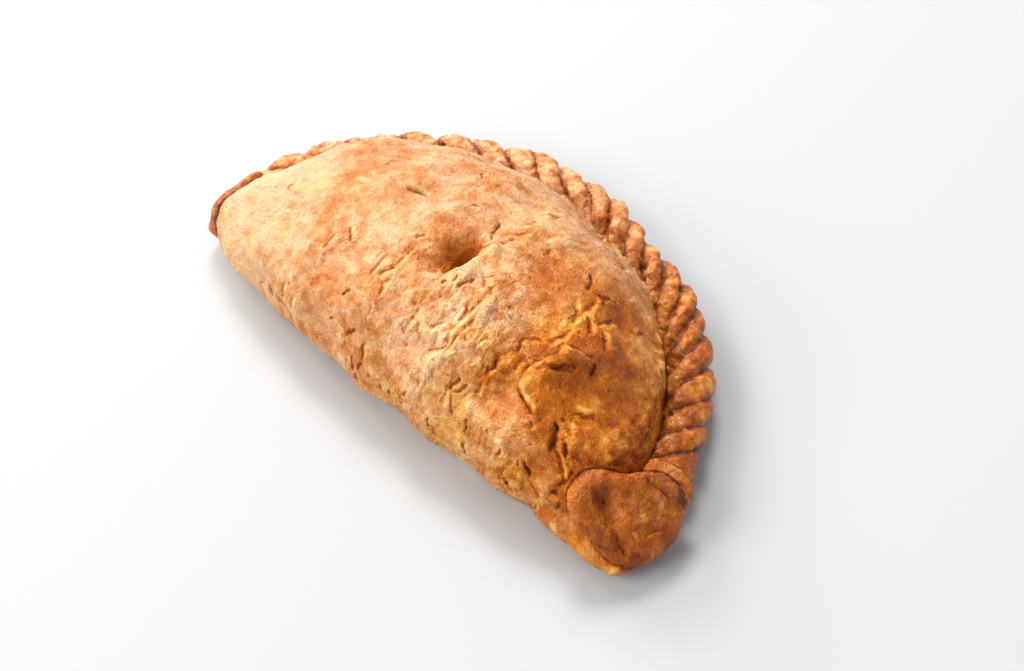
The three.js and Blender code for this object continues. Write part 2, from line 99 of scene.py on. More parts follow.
# %% Smooth noise
CORNERS = np.array([[n >> 2 & 1, n >> 1 & 1, n & 1] for n in range(8)])
NEIGHBOURS = np.array([[n // 9 - 1, n // 3 % 3 - 1, n % 3 - 1] for n in range(27)])
SLOPES = np.array([
    [1, 1, 0], [-1, 1, 0], [1, -1, 0], [-1, -1, 0],
    [1, 0, 1], [-1, 0, 1], [1, 0, -1], [-1, 0, -1],
    [0, 1, 1], [0, -1, 1], [0, 1, -1], [0, -1, -1],
])
WHOLE = 0xFFFFFFFF                    # the largest whole number of 32 bits
SCATTER = (374761393, 668265263, 1442695041)  # large odd numbers that mix up neighbouring cells
SEED_SCATTER = 974634777
LAST_SCATTER = 1274126177
SEED_SHIFT = 0.37                     # moves the grid of each seed, so that their cells don't line up
NOISE_GAIN = 1.4                      # brings the noise to about -1 to 1


def cell_key(cells, seed):
    """A whole number for each cell of a grid, scattered but always the same."""
    key = sum(cells[..., axis] * SCATTER[axis] for axis in range(3))
    key = (key + seed * SEED_SCATTER) & WHOLE
    key = ((key ^ (key >> 13)) * LAST_SCATTER) & WHOLE
    return key ^ (key >> 16)


def noise(points, size, seed):
    """Smooth noise from about -1 to 1, with lumps about `size` millimetres across."""
    place = points / size + seed * SEED_SHIFT
    cell = np.floor(place).astype(np.int64)
    part = place - cell
    ease = part ** 3 * (part * (part * 6 - 15) + 10)
    total = np.zeros(len(points))
    for corner in CORNERS:
        slope = SLOPES[cell_key(cell + corner, seed) % len(SLOPES)]
        weight = np.prod(np.where(corner, ease, 1 - ease), axis=1)
        total += weight * np.sum(slope * (part - corner), axis=1)
    return total * NOISE_GAIN


def layered(points, size, seed, layers=3):
    """Noise with finer and weaker noise on top of it."""
    size = np.asarray(size, float)
    return sum(noise(points, size / 2 ** n, seed + n) / 2 ** n for n in range(layers))


def dots(points, size, seed):
    """The distance in millimetres to the nearest of some scattered dots, and a chance for each."""
    cell = np.floor(points / size).astype(np.int64)
    nearest = np.full(len(points), 1e9)
    chance = np.zeros(len(points))
    for step in NEIGHBOURS:
        key = cell_key(cell + step, seed)
        jitter = np.stack([key & 1023, key >> 10 & 1023, key >> 20 & 1023], axis=1) / 1023
        far = np.linalg.norm(points - (cell + step + jitter) * size, axis=1)
        closer = far < nearest
        nearest = np.where(closer, far, nearest)
        chance = np.where(closer, cell_key(cell + step, seed + 7) / WHOLE, chance)
    return nearest, chance


trial = np.random.default_rng(1).uniform(0, 100, (2000, 3))
print("noise spreads", np.round(np.percentile(noise(trial, 9, 1), [1, 50, 99]), 2))

# %% [markdown]
# ## The filled case
# The case swells over its filling: round near the top, and a half-moon at its widest, where the
# folded side bulges out a little and the curved side ends in the groove along the crimp. A
# sculpted blob would do for a still picture, but the solid follows a rule, and with the same rule
# here the baked surface lies exactly where the solid is.

# %% The rule of the case
CASE_MIDDLE_X = -6.0
CASE_HALF_LENGTH = 91.8
CASE_DEPTH = 85.3                     # from the folded line to the far edge of the curved side
FOLD_BULGE = 12.5                     # how far the folded side swells out past that line
CASE_HEIGHT = 49.0
APEX = (-10.0, 30.0)                  # the top of the dome in plan
FOLD_HEIGHT = 11.8                    # the height of the widest line, at the folded side
GROOVE_HEIGHT = 14.8                  # and beside the crimp
FOLD_UNDERCUT = 9.0
CRIMP_UNDERCUT = 3.0
SIDE_BLEND = (20.0, 11.0)             # where one side turns into the other, and how slowly
FALL_START = 2.3                      # how flat the dome is at its top
FALL_END = (2.2, 1.6)                 # how steep it is at the folded side, and beside the crimp
BOW = dict(far=6.0, at=122.0, over=36.0)
TUCK = dict(far=3.4, at=74.0, over=10.0)
CASE_STRAY = 0.75                     # the share of that bow and tuck that the case follows


def stray(degrees):
    """How far the curved side strays from its arc."""
    bow = BOW["far"] * bell(degrees - BOW["at"], BOW["over"])
    return bow - TUCK["far"] * bell(degrees - TUCK["at"], TUCK["over"])


def case_rim(turn):
    curved = np.sin(turn) >= 0
    depth = np.where(curved, CASE_DEPTH, FOLD_BULGE)
    wider = np.where(curved, CASE_STRAY * stray(np.degrees(turn)), 0)
    x = CASE_MIDDLE_X + (CASE_HALF_LENGTH + wider) * np.cos(turn)
    return x, (depth + wider) * np.sin(turn)


def crimped_side(rim_y):
    return 1 / (1 + np.exp((SIDE_BLEND[0] - rim_y) / SIDE_BLEND[1]))


def round_reach(dx, dy):
    """How far it is from the top, going one way, to the ellipse that fits inside the rim."""
    half_depth = (CASE_DEPTH + FOLD_BULGE) / 2
    ox = (APEX[0] - CASE_MIDDLE_X) / CASE_HALF_LENGTH
    oy = (APEX[1] - CASE_DEPTH + half_depth) / half_depth
    vx = dx / CASE_HALF_LENGTH
    vy = dy / half_depth
    a = vx * vx + vy * vy
    b = ox * vx + oy * vy
    return (-b + np.sqrt(b * b - a * (ox * ox + oy * oy - 1))) / a


def dome(turn, out):
    """The smooth dome: out is 0 at its top and 1 at the rim."""
    rim_x, rim_y = case_rim(turn)
    side = crimped_side(rim_y)
    reach = np.hypot(rim_x - APEX[0], rim_y - APEX[1])
    dx = (rim_x - APEX[0]) / reach
    dy = (rim_y - APEX[1]) / reach
    distance = out * mix(round_reach(dx, dy), reach, out * out)
    fall = (1 - out ** FALL_START) ** (1 / mix(*FALL_END, side))
    height = mix(mix(FOLD_HEIGHT, GROOVE_HEIGHT, side), CASE_HEIGHT, fall)
    return np.stack([APEX[0] + dx * distance, APEX[1] + dy * distance, height], axis=-1)


def under_case(turn, down):
    """Below its rim the case rounds in to the flat face that it lies on."""
    rim = dome(turn, np.ones_like(turn))
    undercut = mix(FOLD_UNDERCUT, CRIMP_UNDERCUT, crimped_side(case_rim(turn)[1]))
    towards = np.array(APEX) - rim[:, :2]
    towards /= np.linalg.norm(towards, axis=1, keepdims=True)
    inward = undercut * (1 - np.cos(down * np.pi / 2))
    height = rim[:, 2] * (1 - np.sin(down * np.pi / 2))
    return np.column_stack([rim[:, :2] + towards * inward[:, None], height])


top = dome(np.zeros(1), np.zeros(1))[0]
print("top of the dome at", np.round(top, 1), "mm")

# %% [markdown]
# ## An even net of faces
# Rings round the top would crowd their points at the middle and leave the rim coarse. A square
# net bent into a disc spreads them evenly, and the rings are then spaced by the length of the
# dome's slope, so that the steep sides are as fine as the top.

# %% A square net bent into a disc
NET = (290, 240)                      # squares across and deep
UNDER_RINGS = 20
BASE_RINGS = 3
TYPICAL_REACH = 60.0                  # from the top of the dome to its rim
SLOPE_STEPS = 4000


def net_of_disc(across, deep):
    a, b = np.meshgrid(np.linspace(-1, 1, across + 1), np.linspace(-1, 1, deep + 1),
                       indexing="ij")
    wide = np.abs(a) > np.abs(b)
    out = np.where(wide, a, b)
    safe = np.where(out == 0, 1, out)
    turn = np.where(wide, b / safe * np.pi / 4, np.pi / 2 - a / safe * np.pi / 4)
    turn = np.where(out < 0, turn + np.pi, turn) % (2 * np.pi)
    return turn, np.abs(out)


def even_slope(share):
    """Where on the slope, from 0 to 1, a share of its length lies."""
    out = np.sin(np.linspace(0, np.pi / 2, SLOPE_STEPS))
    height = CASE_HEIGHT - FOLD_HEIGHT
    fall = height * (1 - out ** FALL_START) ** (1 / FALL_END[0])
    across = np.diff(out * TYPICAL_REACH, prepend=0)
    length = np.cumsum(np.hypot(across, np.diff(fall, prepend=fall[0])))
    return np.interp(share, length / length[-1], out)


def net_faces(rows, columns, first=0):
    index = first + np.arange(rows * columns).reshape(rows, columns)
    corners = [index[:-1, :-1], index[1:, :-1], index[1:, 1:], index[:-1, 1:]]
    return np.stack(corners, axis=-1).reshape(-1, 4)


def net_border(rows, columns):
    index = np.arange(rows * columns).reshape(rows, columns)
    sides = [index[-1, :-1], index[:0:-1, -1], index[0, :0:-1], index[:-1, 0]]
    return np.concatenate(sides)


print("half of the slope lies within", round(float(even_slope(0.5)), 2), "of the way to the rim")

# %% Points and faces of the case
def case_surface():
    """Points and faces of the case, with how far out and how far below the rim each point is."""
    rows, columns = NET[0] + 1, NET[1] + 1
    turn, out = net_of_disc(*NET)
    outs = [even_slope(out.ravel())]
    points = [dome(turn.ravel(), outs[0])]
    downs = [np.zeros(rows * columns)]
    faces = [net_faces(rows, columns)]
    border = net_border(rows, columns)
    border_turn = turn.ravel()[border]
    above = border
    count = rows * columns
    rings = [("under", (n + 1) / UNDER_RINGS) for n in range(UNDER_RINGS)]
    rings += [("base", 1 - (n + 1) / (BASE_RINGS + 1)) for n in range(BASE_RINGS)]
    for kind, share in rings:
        if kind == "under":
            ring = under_case(border_turn, np.full(len(border), share))
            downs.append(np.full(len(border), share))
        else:
            edge = under_case(border_turn, np.ones(len(border)))
            middle = np.array([*APEX, 0.0])
            ring = middle + (edge - middle) * share
            downs.append(np.full(len(border), 2.0))
        points.append(ring)
        below = count + np.arange(len(border))
        faces.append(np.stack([above, below, np.roll(below, -1), np.roll(above, -1)], axis=1))
        above = below
        count += len(border)
    points.append(np.array([[*APEX, 0.0]]))
    downs.append(np.array([2.0]))
    fan = np.stack([above, np.full(len(border), count), np.roll(above, -1)], axis=1)
    points = np.concatenate(points)
    outs.append(np.ones(len(points) - len(outs[0])))
    return points, np.concatenate(faces), fan, np.concatenate(outs), np.concatenate(downs)


def surface_normals(points, quads):
    a, b, c, d = (points[quads[:, k]] for k in range(4))
    facing = np.cross(c - a, d - b)
    normals = np.zeros_like(points)
    for k in range(4):
        for axis in range(3):
            normals[:, axis] += np.bincount(quads[:, k], facing[:, axis], len(points))
    return normals / np.maximum(np.linalg.norm(normals, axis=1, keepdims=True), 1e-9)


case_points, case_quads, case_fan, case_out, case_down = case_surface()
print("the case has", len(case_points), "points and", 2 * len(case_quads) + len(case_fan),
      "triangles")

# %% [markdown]
# ### The toe
# Under the large folded end the nose of the case runs on as a low, squarish toe. The points of
# the case that lie inside it are pushed out to its surface. A lump of its own, sunk into the case,
# would leave a hard crease round it, and the real dough runs on without one.

# %% Push the nose out into the toe
TOE = dict(at=(77.5, 3.2), half=(21.5, 12.7), corner=3.0, top=16.0, widest_at=6.0, undercut=5.0)


def swollen_toe(points):
    lower = np.clip(TOE["widest_at"] - points[:, 2], 0, TOE["widest_at"]) / TOE["widest_at"]
    inset = TOE["undercut"] * lower ** 2
    dx = points[:, 0] - TOE["at"][0]
    dy = points[:, 1] - TOE["at"][1]
    across = np.abs(dx / (TOE["half"][0] - inset)) ** TOE["corner"]
    deep = np.abs(dy / (TOE["half"][1] - inset)) ** TOE["corner"]
    flat = (across + deep) ** (1 / TOE["corner"])
    rise = np.clip(points[:, 2] - TOE["widest_at"], 0, None) / (TOE["top"] - TOE["widest_at"])
    inside = np.sqrt(flat ** 2 + rise ** 2)
    grow = np.where((inside < 1) & (points[:, 2] > 0), 1 / np.maximum(inside, 0.15), 1)
    grown = points.copy()
    grown[:, 0] += dx * (grow - 1)
    grown[:, 1] += dy * (grow - 1)
    return grown


toe_points = swollen_toe(case_points)
moved = np.linalg.norm(toe_points - case_points, axis=1)
print("the toe moves", int((moved > 0.01).sum()), "points, at most",
      round(float(moved.max()), 1), "mm")

# %% [markdown]
# ## The relief of the crust
# The broad forms come first: the trough of the steam vent with its swollen lip, folds, hollows
# and slow swells, all with the same values as the solid. On top lie the things that make baked
# pastry look baked: wrinkles stretched from the crimp down to the fold, ragged flakes that lift
# at one edge, cracks, pits and fine crumb. A bump in the material could draw them, but its outline
# would stay smooth, so the points themselves are moved. Each layer notes where it lifts and where it
# opens, and the materials colour those places.
# The lifted places are painted paler, partly as a highlight, and the open ones darker, as painted
# shade.

# %% Broad marks and swells, as in the solid
SEED = 3050
MARKS = [  # place in plan, turn in degrees, half length, half width, height
    ((0.6, 25.8), 86, 8.5, 4.3, -3.8),
    ((3.4, 25), 86, 6.5, 1.9, -2.4),
    ((9.4, 24), 82, 12, 4.0, 1.6),
    ((-15, 30), 20, 5, 2.6, 1.4),
    ((-27, 37), 0, 2.5, 2.5, -1.5),
    ((30, 22), 75, 24, 8, 1.3),
    ((45, 16), 80, 14, 4, -1.1),
    ((54, 22), 60, 13, 9, 1.4),
    ((-46, 10), 80, 16, 7, -1.0),
    ((-60, 30), 60, 20, 11, 0.9),
    ((66, 40), 110, 16, 8, -0.9),
    ((20, 60), 90, 18, 10, 0.8),
]
SWELL_COUNT = 7
SWELL_LENGTH = (22, 48)               # from crest to crest, the shortest and the longest
SWELL_HEIGHT = 0.34


def chance(n):
    """A number from 0 to 1 that is always the same for the same n."""
    wave = np.sin(SEED * 12.9898 + n * 78.233) * 43758.5453
    return wave - np.floor(wave)


def turned(points, at, degrees):
    """How far points lie along and across a line through a place in plan."""
    cos, sin = np.cos(np.radians(degrees)), np.sin(np.radians(degrees))
    dx, dy = points[:, 0] - at[0], points[:, 1] - at[1]
    return dx * cos + dy * sin, dy * cos - dx * sin


def broad_relief(points, down):
    height = np.zeros(len(points))
    for at, degrees, long, wide, high in MARKS:
        along, across = turned(points, at, degrees)
        height += high * bell(along, long) * bell(across, wide) * (down == 0)
    for n in range(SWELL_COUNT):
        turn = chance(100 + n) * np.pi
        length = mix(*SWELL_LENGTH, chance(120 + n))
        along = points[:, 0] * np.cos(turn) + (points[:, 1] + points[:, 2]) * np.sin(turn)
        wave = SWELL_HEIGHT * np.sin(along * 2 * np.pi / length + chance(140 + n) * 7)
        height += wave * (1 - np.clip(down, 0, 1))
    return height


broad = broad_relief(toe_points, case_down)
print("broad relief from", round(float(broad.min()), 1), "to", round(float(broad.max()), 1), "mm")

# %% A skin that keeps track of what happened to it
LINE_REACH = 9.0                      # how far beyond a flake or crack its effect may reach
RAGGED_SIZE = 3.5                     # the size of the wobbles in a torn edge


class Skin:
    """The points of one piece, with notes on where the pastry lifts and where shade is painted into
    it.
    """

    def __init__(self, points, normals):
        self.points = points
        self.normals = normals
        self.height = np.zeros(len(points))
        # The first note below is painted paler, partly as pale dough and partly as a highlight; the
        # second is painted shade.
        self.lip = np.zeros(len(points))
        self.crack = np.zeros(len(points))

    def near(self, at, reach):
        return np.flatnonzero(np.linalg.norm(self.points - at, axis=1) < reach)

    def lines(self, start, end, bend, ragged, seed):
        """The points near a line, their place along it from 0 to 1, and how far beside it."""
        start, end = np.array(start, float), np.array(end, float)
        length = np.linalg.norm(end - start)
        chosen = self.near((start + end) / 2, length * 0.5 + LINE_REACH)
        middle = chosen[np.argmin(np.linalg.norm(self.points[chosen] - (start + end) / 2, axis=1))]
        normal = self.normals[middle]
        chosen = chosen[self.normals[chosen] @ normal > 0.1]
        direction = (end - start) / length
        side = np.cross(normal, direction)
        offset = self.points[chosen] - start
        along = offset @ direction / length
        beside = offset @ side - bend * 4 * along * (1 - along)
        beside += ragged * layered(self.points[chosen], RAGGED_SIZE, seed, 2)
        return chosen, along, beside

    def open_crack(self, start, end, wide, deep, bend, seed, ragged=0.7):
        """Opens a split along a line, with shade painted into it and a slight swelling on both sides,
        painted paler.
        """
        chosen, along, beside = self.lines(start, end, bend, ragged, seed)
        ends = smooth_step(0, 0.2, along) * (1 - smooth_step(0.8, 1, along))
        groove = bell(beside, wide) * ends
        shoulder = (bell(beside, wide * 3) - groove) * ends
        self.height[chosen] += deep * (0.35 * shoulder - groove)
        # Painted shade in the groove of the split, and the shoulders painted paler.
        self.crack[chosen] = np.maximum(self.crack[chosen], groove)
        self.lip[chosen] = np.maximum(self.lip[chosen], shoulder * 0.5)

    def lift_flake(self, start, end, reach, lift, bend, seed, ragged=0.8):
        """Lifts the pastry on the left of a line, with a sharp ragged edge along the line."""
        chosen, along, beside = self.lines(start, end, bend, ragged, seed)
        ends = smooth_step(0, 0.25, along) * (1 - smooth_step(0.75, 1, along))
        sheet = smooth_step(-0.8, 0.8, beside) * bell(np.maximum(beside, 0), reach) * ends
        self.height[chosen] += lift * sheet
        # The foot sinks a little and is painted darker as the flake's shadow; the lifted edge is
        # painted paler as a highlight.
        foot = bell(beside + 1.1, 0.9) * ends
        self.height[chosen] -= 0.3 * lift * foot
        strength = min(1.0, lift / 0.7)
        self.lip[chosen] = np.maximum(self.lip[chosen], bell(beside - 0.6, 1.0) * ends * strength)
        self.crack[chosen] = np.maximum(self.crack[chosen], foot * 0.8 * strength)


def baked_skin(points, quads):
    return Skin(points, surface_normals(points, quads))


crust = baked_skin(toe_points, case_quads)
crust.height += broad
print("the crust faces up at", int((crust.normals[:, 2] > 0.7).sum()), "points")

# %% [markdown]
# ### The steam vent and the groove
# The vent is a trough that slopes gently down to a slit and ends at a steep, swollen lip. Round
# the curved side the dome dips into a groove before it meets the crimp. A boolean cut would leave
# edges as sharp as a knife's, and dough closes up as it bakes, so both are part of the relief.

# %% Sharpen the vent and sink the groove
VENT = dict(at=(5.7, 25.0), degrees=86, long=8.5, slope=5.5, throat=1.4, deep=2.4, bend=2.05)
VENT_LIP = dict(before=1.6, wide=1.6, high=0.7)
# The slit's and the groove's dark values are painted shade: in the opening, and at the groove's foot.
SLIT = dict(at=1.3, wide=1.1, before=1.5, long=6.0, dark=1.5)
GROOVE = dict(start=0.93, end=0.985, deep=1.8, dark=0.8)

vent_along, vent_across = turned(crust.points, VENT["at"], VENT["degrees"])
vent_across = vent_across - VENT["bend"] * np.clip(vent_along / VENT["long"], -1.5, 1.5) ** 2
vent_ends = bell(vent_along, VENT["long"]) * (case_down == 0)
trough = smooth_step(0.0, VENT["throat"], vent_across)
trough *= bell(np.maximum(vent_across - VENT["throat"], 0), VENT["slope"])
vent_lip = bell(vent_across + VENT_LIP["before"], VENT_LIP["wide"]) * vent_ends
slit = bell(vent_across - SLIT["at"], SLIT["wide"]) * bell(vent_along + SLIT["before"], SLIT["long"])
crust.height += VENT_LIP["high"] * vent_lip - VENT["deep"] * trough * vent_ends
# Painted shade in the slit, and a painted highlight on the swollen lip.
crust.crack = np.maximum(crust.crack, SLIT["dark"] * slit * (case_down == 0))
crust.lip = np.maximum(crust.lip, vent_lip)

crimped = crimped_side(crust.points[:, 1])
groove = crimped * smooth_step(GROOVE["start"], GROOVE["end"], case_out) * (case_down < 0.7)
crust.height -= GROOVE["deep"] * groove
# Painted shade at the foot of the groove.
at_foot = np.where(case_down > 0, 1, smooth_step(GROOVE["end"], 1.0, case_out))
crust.crack = np.maximum(crust.crack, GROOVE["dark"] * groove * at_foot)
print("vent", round(float((VENT["deep"] * trough * vent_ends).max()), 1),
      "mm deeper than in the solid")

# %% Where the crust is glazed and where it is wrinkled
def spot(points, x, y, half_x, half_y, degrees=0.0):
    """A soft oval spot in plan, 1 at its middle."""
    along, across = turned(points, (x, y), degrees)
    return np.exp(-((along / half_x) ** 2 + (across / half_y) ** 2))


def spots(points, places):
    """Several spots added up, each with its own share as the last of its values."""
    return sum(share * spot(points, *place) for *place, share in places)


GLAZED_SPOTS = [  # x, y, half sizes, turn, share
    (62, 32, 23, 26, 20, 1.25), (80, 18, 16, 16, 0, 1.0),
]
WRINKLED_SPOTS = [(26, 7, 34, 17, 0, 1.0), (30, 38, 36, 30, 0, 0.35)]

x, y, z = crust.points.T
towards_near_end = smooth_step(-70, 85, x)
fold_side = 1 - smooth_step(14, 34, z + 0.35 * (y + 10))
glazed = np.clip(spots(crust.points, GLAZED_SPOTS), 0, 1)
wrinkled = spots(crust.points, WRINKLED_SPOTS) + 0.2 * fold_side
wrinkled = np.clip(wrinkled, 0, 1) * (1 - 0.7 * glazed)
on_top = (crust.normals[:, 2] > -0.2) & (case_down < 0.85)
print("glazed share", round(float(glazed.mean()), 2),
      "wrinkled share", round(float(wrinkled.mean()), 2))

# %% Lumps and wrinkles
LUMP_SIZE, LUMP_HEIGHT = 12, 0.65
WRINKLE_SIZE, WRINKLE_DEPTH = np.array([5.0, 16.0, 13.0]), 0.65
FINE_WRINKLE_SIZE, FINE_WRINKLE_DEPTH = np.array([2.0, 7.5, 6.0]), 0.34
PIT_SPACING, PIT_DEPTH, PIT_HALF_WIDTH = 6.0, 0.5, (0.5, 1.25)
GRAIN_SPACING, GRAIN_HEIGHT, GRAIN_HALF_WIDTH = 1.5, 0.35, 0.45
CRUMB_SIZE, CRUMB_HEIGHT = 2.4, 0.15
# How strongly each is noted: ridges painted paler as a highlight, wrinkles, fine wrinkles and pits
# painted darker as shade, blisters paler, and grains as pale crumbs with a painted glint.
NOTED = dict(ridge=0.25, wrinkle=0.55, fine=0.16, pit=0.75, blister=0.8, grain=1.2)

BLISTERS = [  # x, y, half width, height
    (2.1, 12.8, 1.6, 1.0), (13.8, 20.9, 1.3, 0.6), (6.5, 57.3, 2.6, 0.7), (31.5, 52.7, 1.8, 0.8),
    (-28.5, 39.7, 1.5, 0.7), (-13.0, 37.5, 2.2, 0.7), (45.5, 56.0, 1.8, 0.6), (-44.0, 22.0, 1.4, 0.5),
    (-36.0, 47.0, 1.6, 0.6), (-18.0, 48.0, 1.8, 0.5), (20.5, 30.0, 1.5, 0.5), (38.0, 33.0, 1.6, 0.6),
]
# Small bright grains: pale crumbs with a painted glint on them.
GRAIN_PATCHES = [  # x, y, half width of a patch of small bright grains
    (66.3, 31.3, 3.4), (49.0, 55.2, 2.6), (50.1, 11.5, 2.6), (64.4, 24.4, 2.0), (72.0, 22.0, 2.2),
    (57.0, 44.0, 2.2), (41.5, 41.5, 2.4), (-20.0, 8.0, 2.4), (12.0, 3.0, 2.6),
]
bent = crust.points + np.column_stack([
    2.6 * layered(crust.points, 17, 31, 2),
    2.2 * layered(crust.points, 15, 37, 2),
    np.zeros(len(x)),
])
lumps = layered(bent, LUMP_SIZE, 41, 3)
crust.height += LUMP_HEIGHT * lumps * (1 - 0.4 * glazed)


def valleys(field, sharp):
    return np.clip(1 - np.abs(field) * sharp, 0, 1) ** 1.6


wrinkle_field = layered(bent, WRINKLE_SIZE, 51, 2)
wrinkles = valleys(wrinkle_field, 2.6)
fine_wrinkles = valleys(layered(bent, FINE_WRINKLE_SIZE, 61, 2), 2.2)
crust.height -= WRINKLE_DEPTH * wrinkles * wrinkled
crust.height -= FINE_WRINKLE_DEPTH * fine_wrinkles * mix(0.35, 1.0, wrinkled) * (1 - 0.6 * glazed)
print("wrinkles up to", WRINKLE_DEPTH, "mm deep and lumps up to", LUMP_HEIGHT, "mm high")
# Ridges are painted paler as a highlight, and the wrinkles' valleys darker as shade.
ridges = smooth_step(0.25, 0.8, np.abs(wrinkle_field))
crust.lip = np.maximum(crust.lip, NOTED["ridge"] * ridges * wrinkled)
crust.crack = np.maximum(crust.crack, NOTED["wrinkle"] * wrinkles * wrinkled)
crust.crack = np.maximum(crust.crack, NOTED["fine"] * fine_wrinkles * mix(0.4, 1, wrinkled))

# %% Pits, blisters, grains and crumb
pit_far, pit_chance = dots(crust.points, PIT_SPACING, 71)
pit_size = mix(*PIT_HALF_WIDTH, (pit_chance * 7.3) % 1)
pits = bell(pit_far, pit_size) * (pit_chance < mix(0.28, 0.16, glazed))
crust.height -= PIT_DEPTH * pits * pit_size
# The pits are painted darker, as shade.
crust.crack = np.maximum(crust.crack, NOTED["pit"] * pits)
for bx, by, wide, high in BLISTERS:
    blister = spot(crust.points, bx, by, wide, wide * 1.4) ** 1.5 * (case_down == 0)
    crust.height += high * blister
    crust.lip = np.maximum(crust.lip, NOTED["blister"] * blister)
grain_far, grain_chance = dots(crust.points, GRAIN_SPACING, 75)
grains = bell(grain_far, GRAIN_HALF_WIDTH) * (grain_chance < 0.6)
grainy = sum(spot(crust.points, gx, gy, wide, wide) for gx, gy, wide in GRAIN_PATCHES)
grains = grains * np.clip(grainy, 0, 1) * (case_down == 0)
crust.height += GRAIN_HEIGHT * grains
# The grains are painted paler: pale crumbs with a painted glint.
crust.lip = np.maximum(crust.lip, NOTED["grain"] * grains)
crumb = layered(crust.points, CRUMB_SIZE, 81, 2)
crust.height += CRUMB_HEIGHT * crumb * (1 - 0.5 * glazed)
print("pits cover", round(float((pits > 0.3).mean()), 3), "of the crust")

# %% [markdown]
# ### Flakes and cracks
# Where the pastry was patched and stretched its layers lift at ragged edges. Loose sheets could be
# laid on, but a real flake still hangs on by one side, so each is a step in the relief: steep along
# its edge and fading away behind it. The large ones are placed one by one, each by the two ends of
# its edge. Small ones are strewn at random, along the way the pastry was stretched, and more thickly
# over the wrinkled middle and the folded side.

# %% Where the large flakes and cracks are
LARGE_FLAKES = [  # ends of the edge, reach, lift, bend
    ((47.5, 26.0, 43.0), (43.6, 6.0, 38.5), 12, 1.7, 1.8),
    ((44.0, 6.5, 38.8), (57.5, 2.5, 35.2), 8, 1.3, -1.2),
    ((58.0, 27.0, 40.6), (46.5, 20.5, 43.4), 7, 1.1, 0.8),
    ((37.5, 12.7, 43.3), (35.6, -0.2, 35.6), 4, 1.0, 0.6),
    ((44.3, 19.2, 44.4), (37.2, 11.8, 43.1), 4, 1.0, -0.8),
    ((46.1, 29.5, 42.6), (43.6, 18.2, 44.4), 4, 0.9, 0.9),
    ((48.0, 11.0, 41.9), (56.0, 19.0, 40.9), 4, 1.0, 0.5),
    ((31.0, 25.0, 47.0), (28.5, 6.0, 42.4), 7, 0.5, -1.5),
    ((21.0, 23.0, 48.3), (15.4, -3.0, 38.3), 8, 0.6, 2.4),
    ((64.0, 2.5, 32.8), (70.0, -1.5, 27.6), 4, 0.9, -0.8),
    ((61.5, 11.0, 35.8), (68.0, 16.5, 33.2), 4, 0.7, -0.6),
    ((10.5, 33.0, 49.0), (5.0, 15.5, 47.5), 7, 0.8, -1.0),
    ((-33.5, 32.5, 48.0), (-23.0, 37.0, 49.0), 5, 1.1, 0.9),
    ((38.5, 36.7, 44.8), (44.3, 30.0, 42.9), 5, 0.7, 1.2),
    ((44.3, 37.2, 42.1), (49.4, 30.2, 41.1), 5, 0.8, 1.2),
    ((49.4, 36.2, 40.1), (56.8, 30.7, 38.0), 5, 0.8, 1.2),
    ((42.3, 44.9, 42.2), (42.8, 27.6, 43.4), 8, 0.7, 1.0),
    ((6.0, 6.0, 43.5), (5.0, -5.5, 33.7), 5, 0.7, 0.8),
    ((-10.0, 20.0, 48.0), (-12.0, 4.0, 43.5), 6, 0.6, 0.8),
]
LARGE_CRACKS = [  # ends, width, depth, bend
    ((49.5, 11.3, 42.0), (56.0, 19.5, 40.8), 0.7, 1.5, 0.5),
    ((56.9, 25.4, 40.3), (59.6, 20.9, 38.2), 0.6, 1.0, 0.2),
    ((61.0, 5.5, 35.0), (64.6, -2.7, 28.6), 0.7, 1.3, 0.8),
    ((66.0, 3.0, 31.8), (69.5, -0.8, 29.0), 0.6, 1.1, 0.5),
    ((4.4, 32.6, 48.6), (-0.8, 44.5, 48.6), 0.7, 1.2, -0.6),
    ((58.9, -6.0, 25.4), (61.7, -7.6, 18.5), 0.8, 1.1, 0.6),
    ((61.7, -7.3, 18.5), (67.5, -7.4, 13.8), 0.8, 1.1, 0.9),
    ((53.6, -8.4, 20.0), (55.7, -8.9, 9.0), 0.7, 0.9, -0.7),
    ((73.0, 1.0, 27.0), (70.0, -4.5, 20.0), 0.6, 0.9, 0.5),
    ((33.0, 50.0, 43.0), (38.5, 41.0, 44.0), 0.6, 0.8, 0.8),
    ((27.0, -4.0, 34.0), (31.5, -8.5, 22.0), 0.6, 0.8, 0.5),
]
print(len(LARGE_FLAKES), "large flakes and", len(LARGE_CRACKS), "large cracks")

# %% Scraps of dough
SCRAPS = [  # x, y, half sizes, turn, height: pale scraps that lie on the crust like scales
    (72.4, 9.6, 9.6, 4.4, 52, 0.9), (65.1, 13.6, 1.9, 1.5, 20, 0.5), (64.6, 4.8, 3.8, 1.6, 75, 0.5),
    (51.6, -8.8, 3.0, 2.4, 30, 0.8), (58.0, -8.0, 3.6, 1.8, 60, 0.6), (47.8, 8.0, 4.6, 2.4, 75, 0.4),
    (66.5, -6.2, 3.8, 2.0, 20, 0.6), (36.0, -8.0, 3.4, 1.7, 80, 0.5), (13.0, 9.0, 4.6, 1.5, 85, 0.5),
    (20.0, -5.0, 4.4, 1.4, 80, 0.5), (31.0, 30.0, 3.0, 1.5, 70, 0.4), (-6.5, 10.0, 3.6, 1.3, 80, 0.4),
]


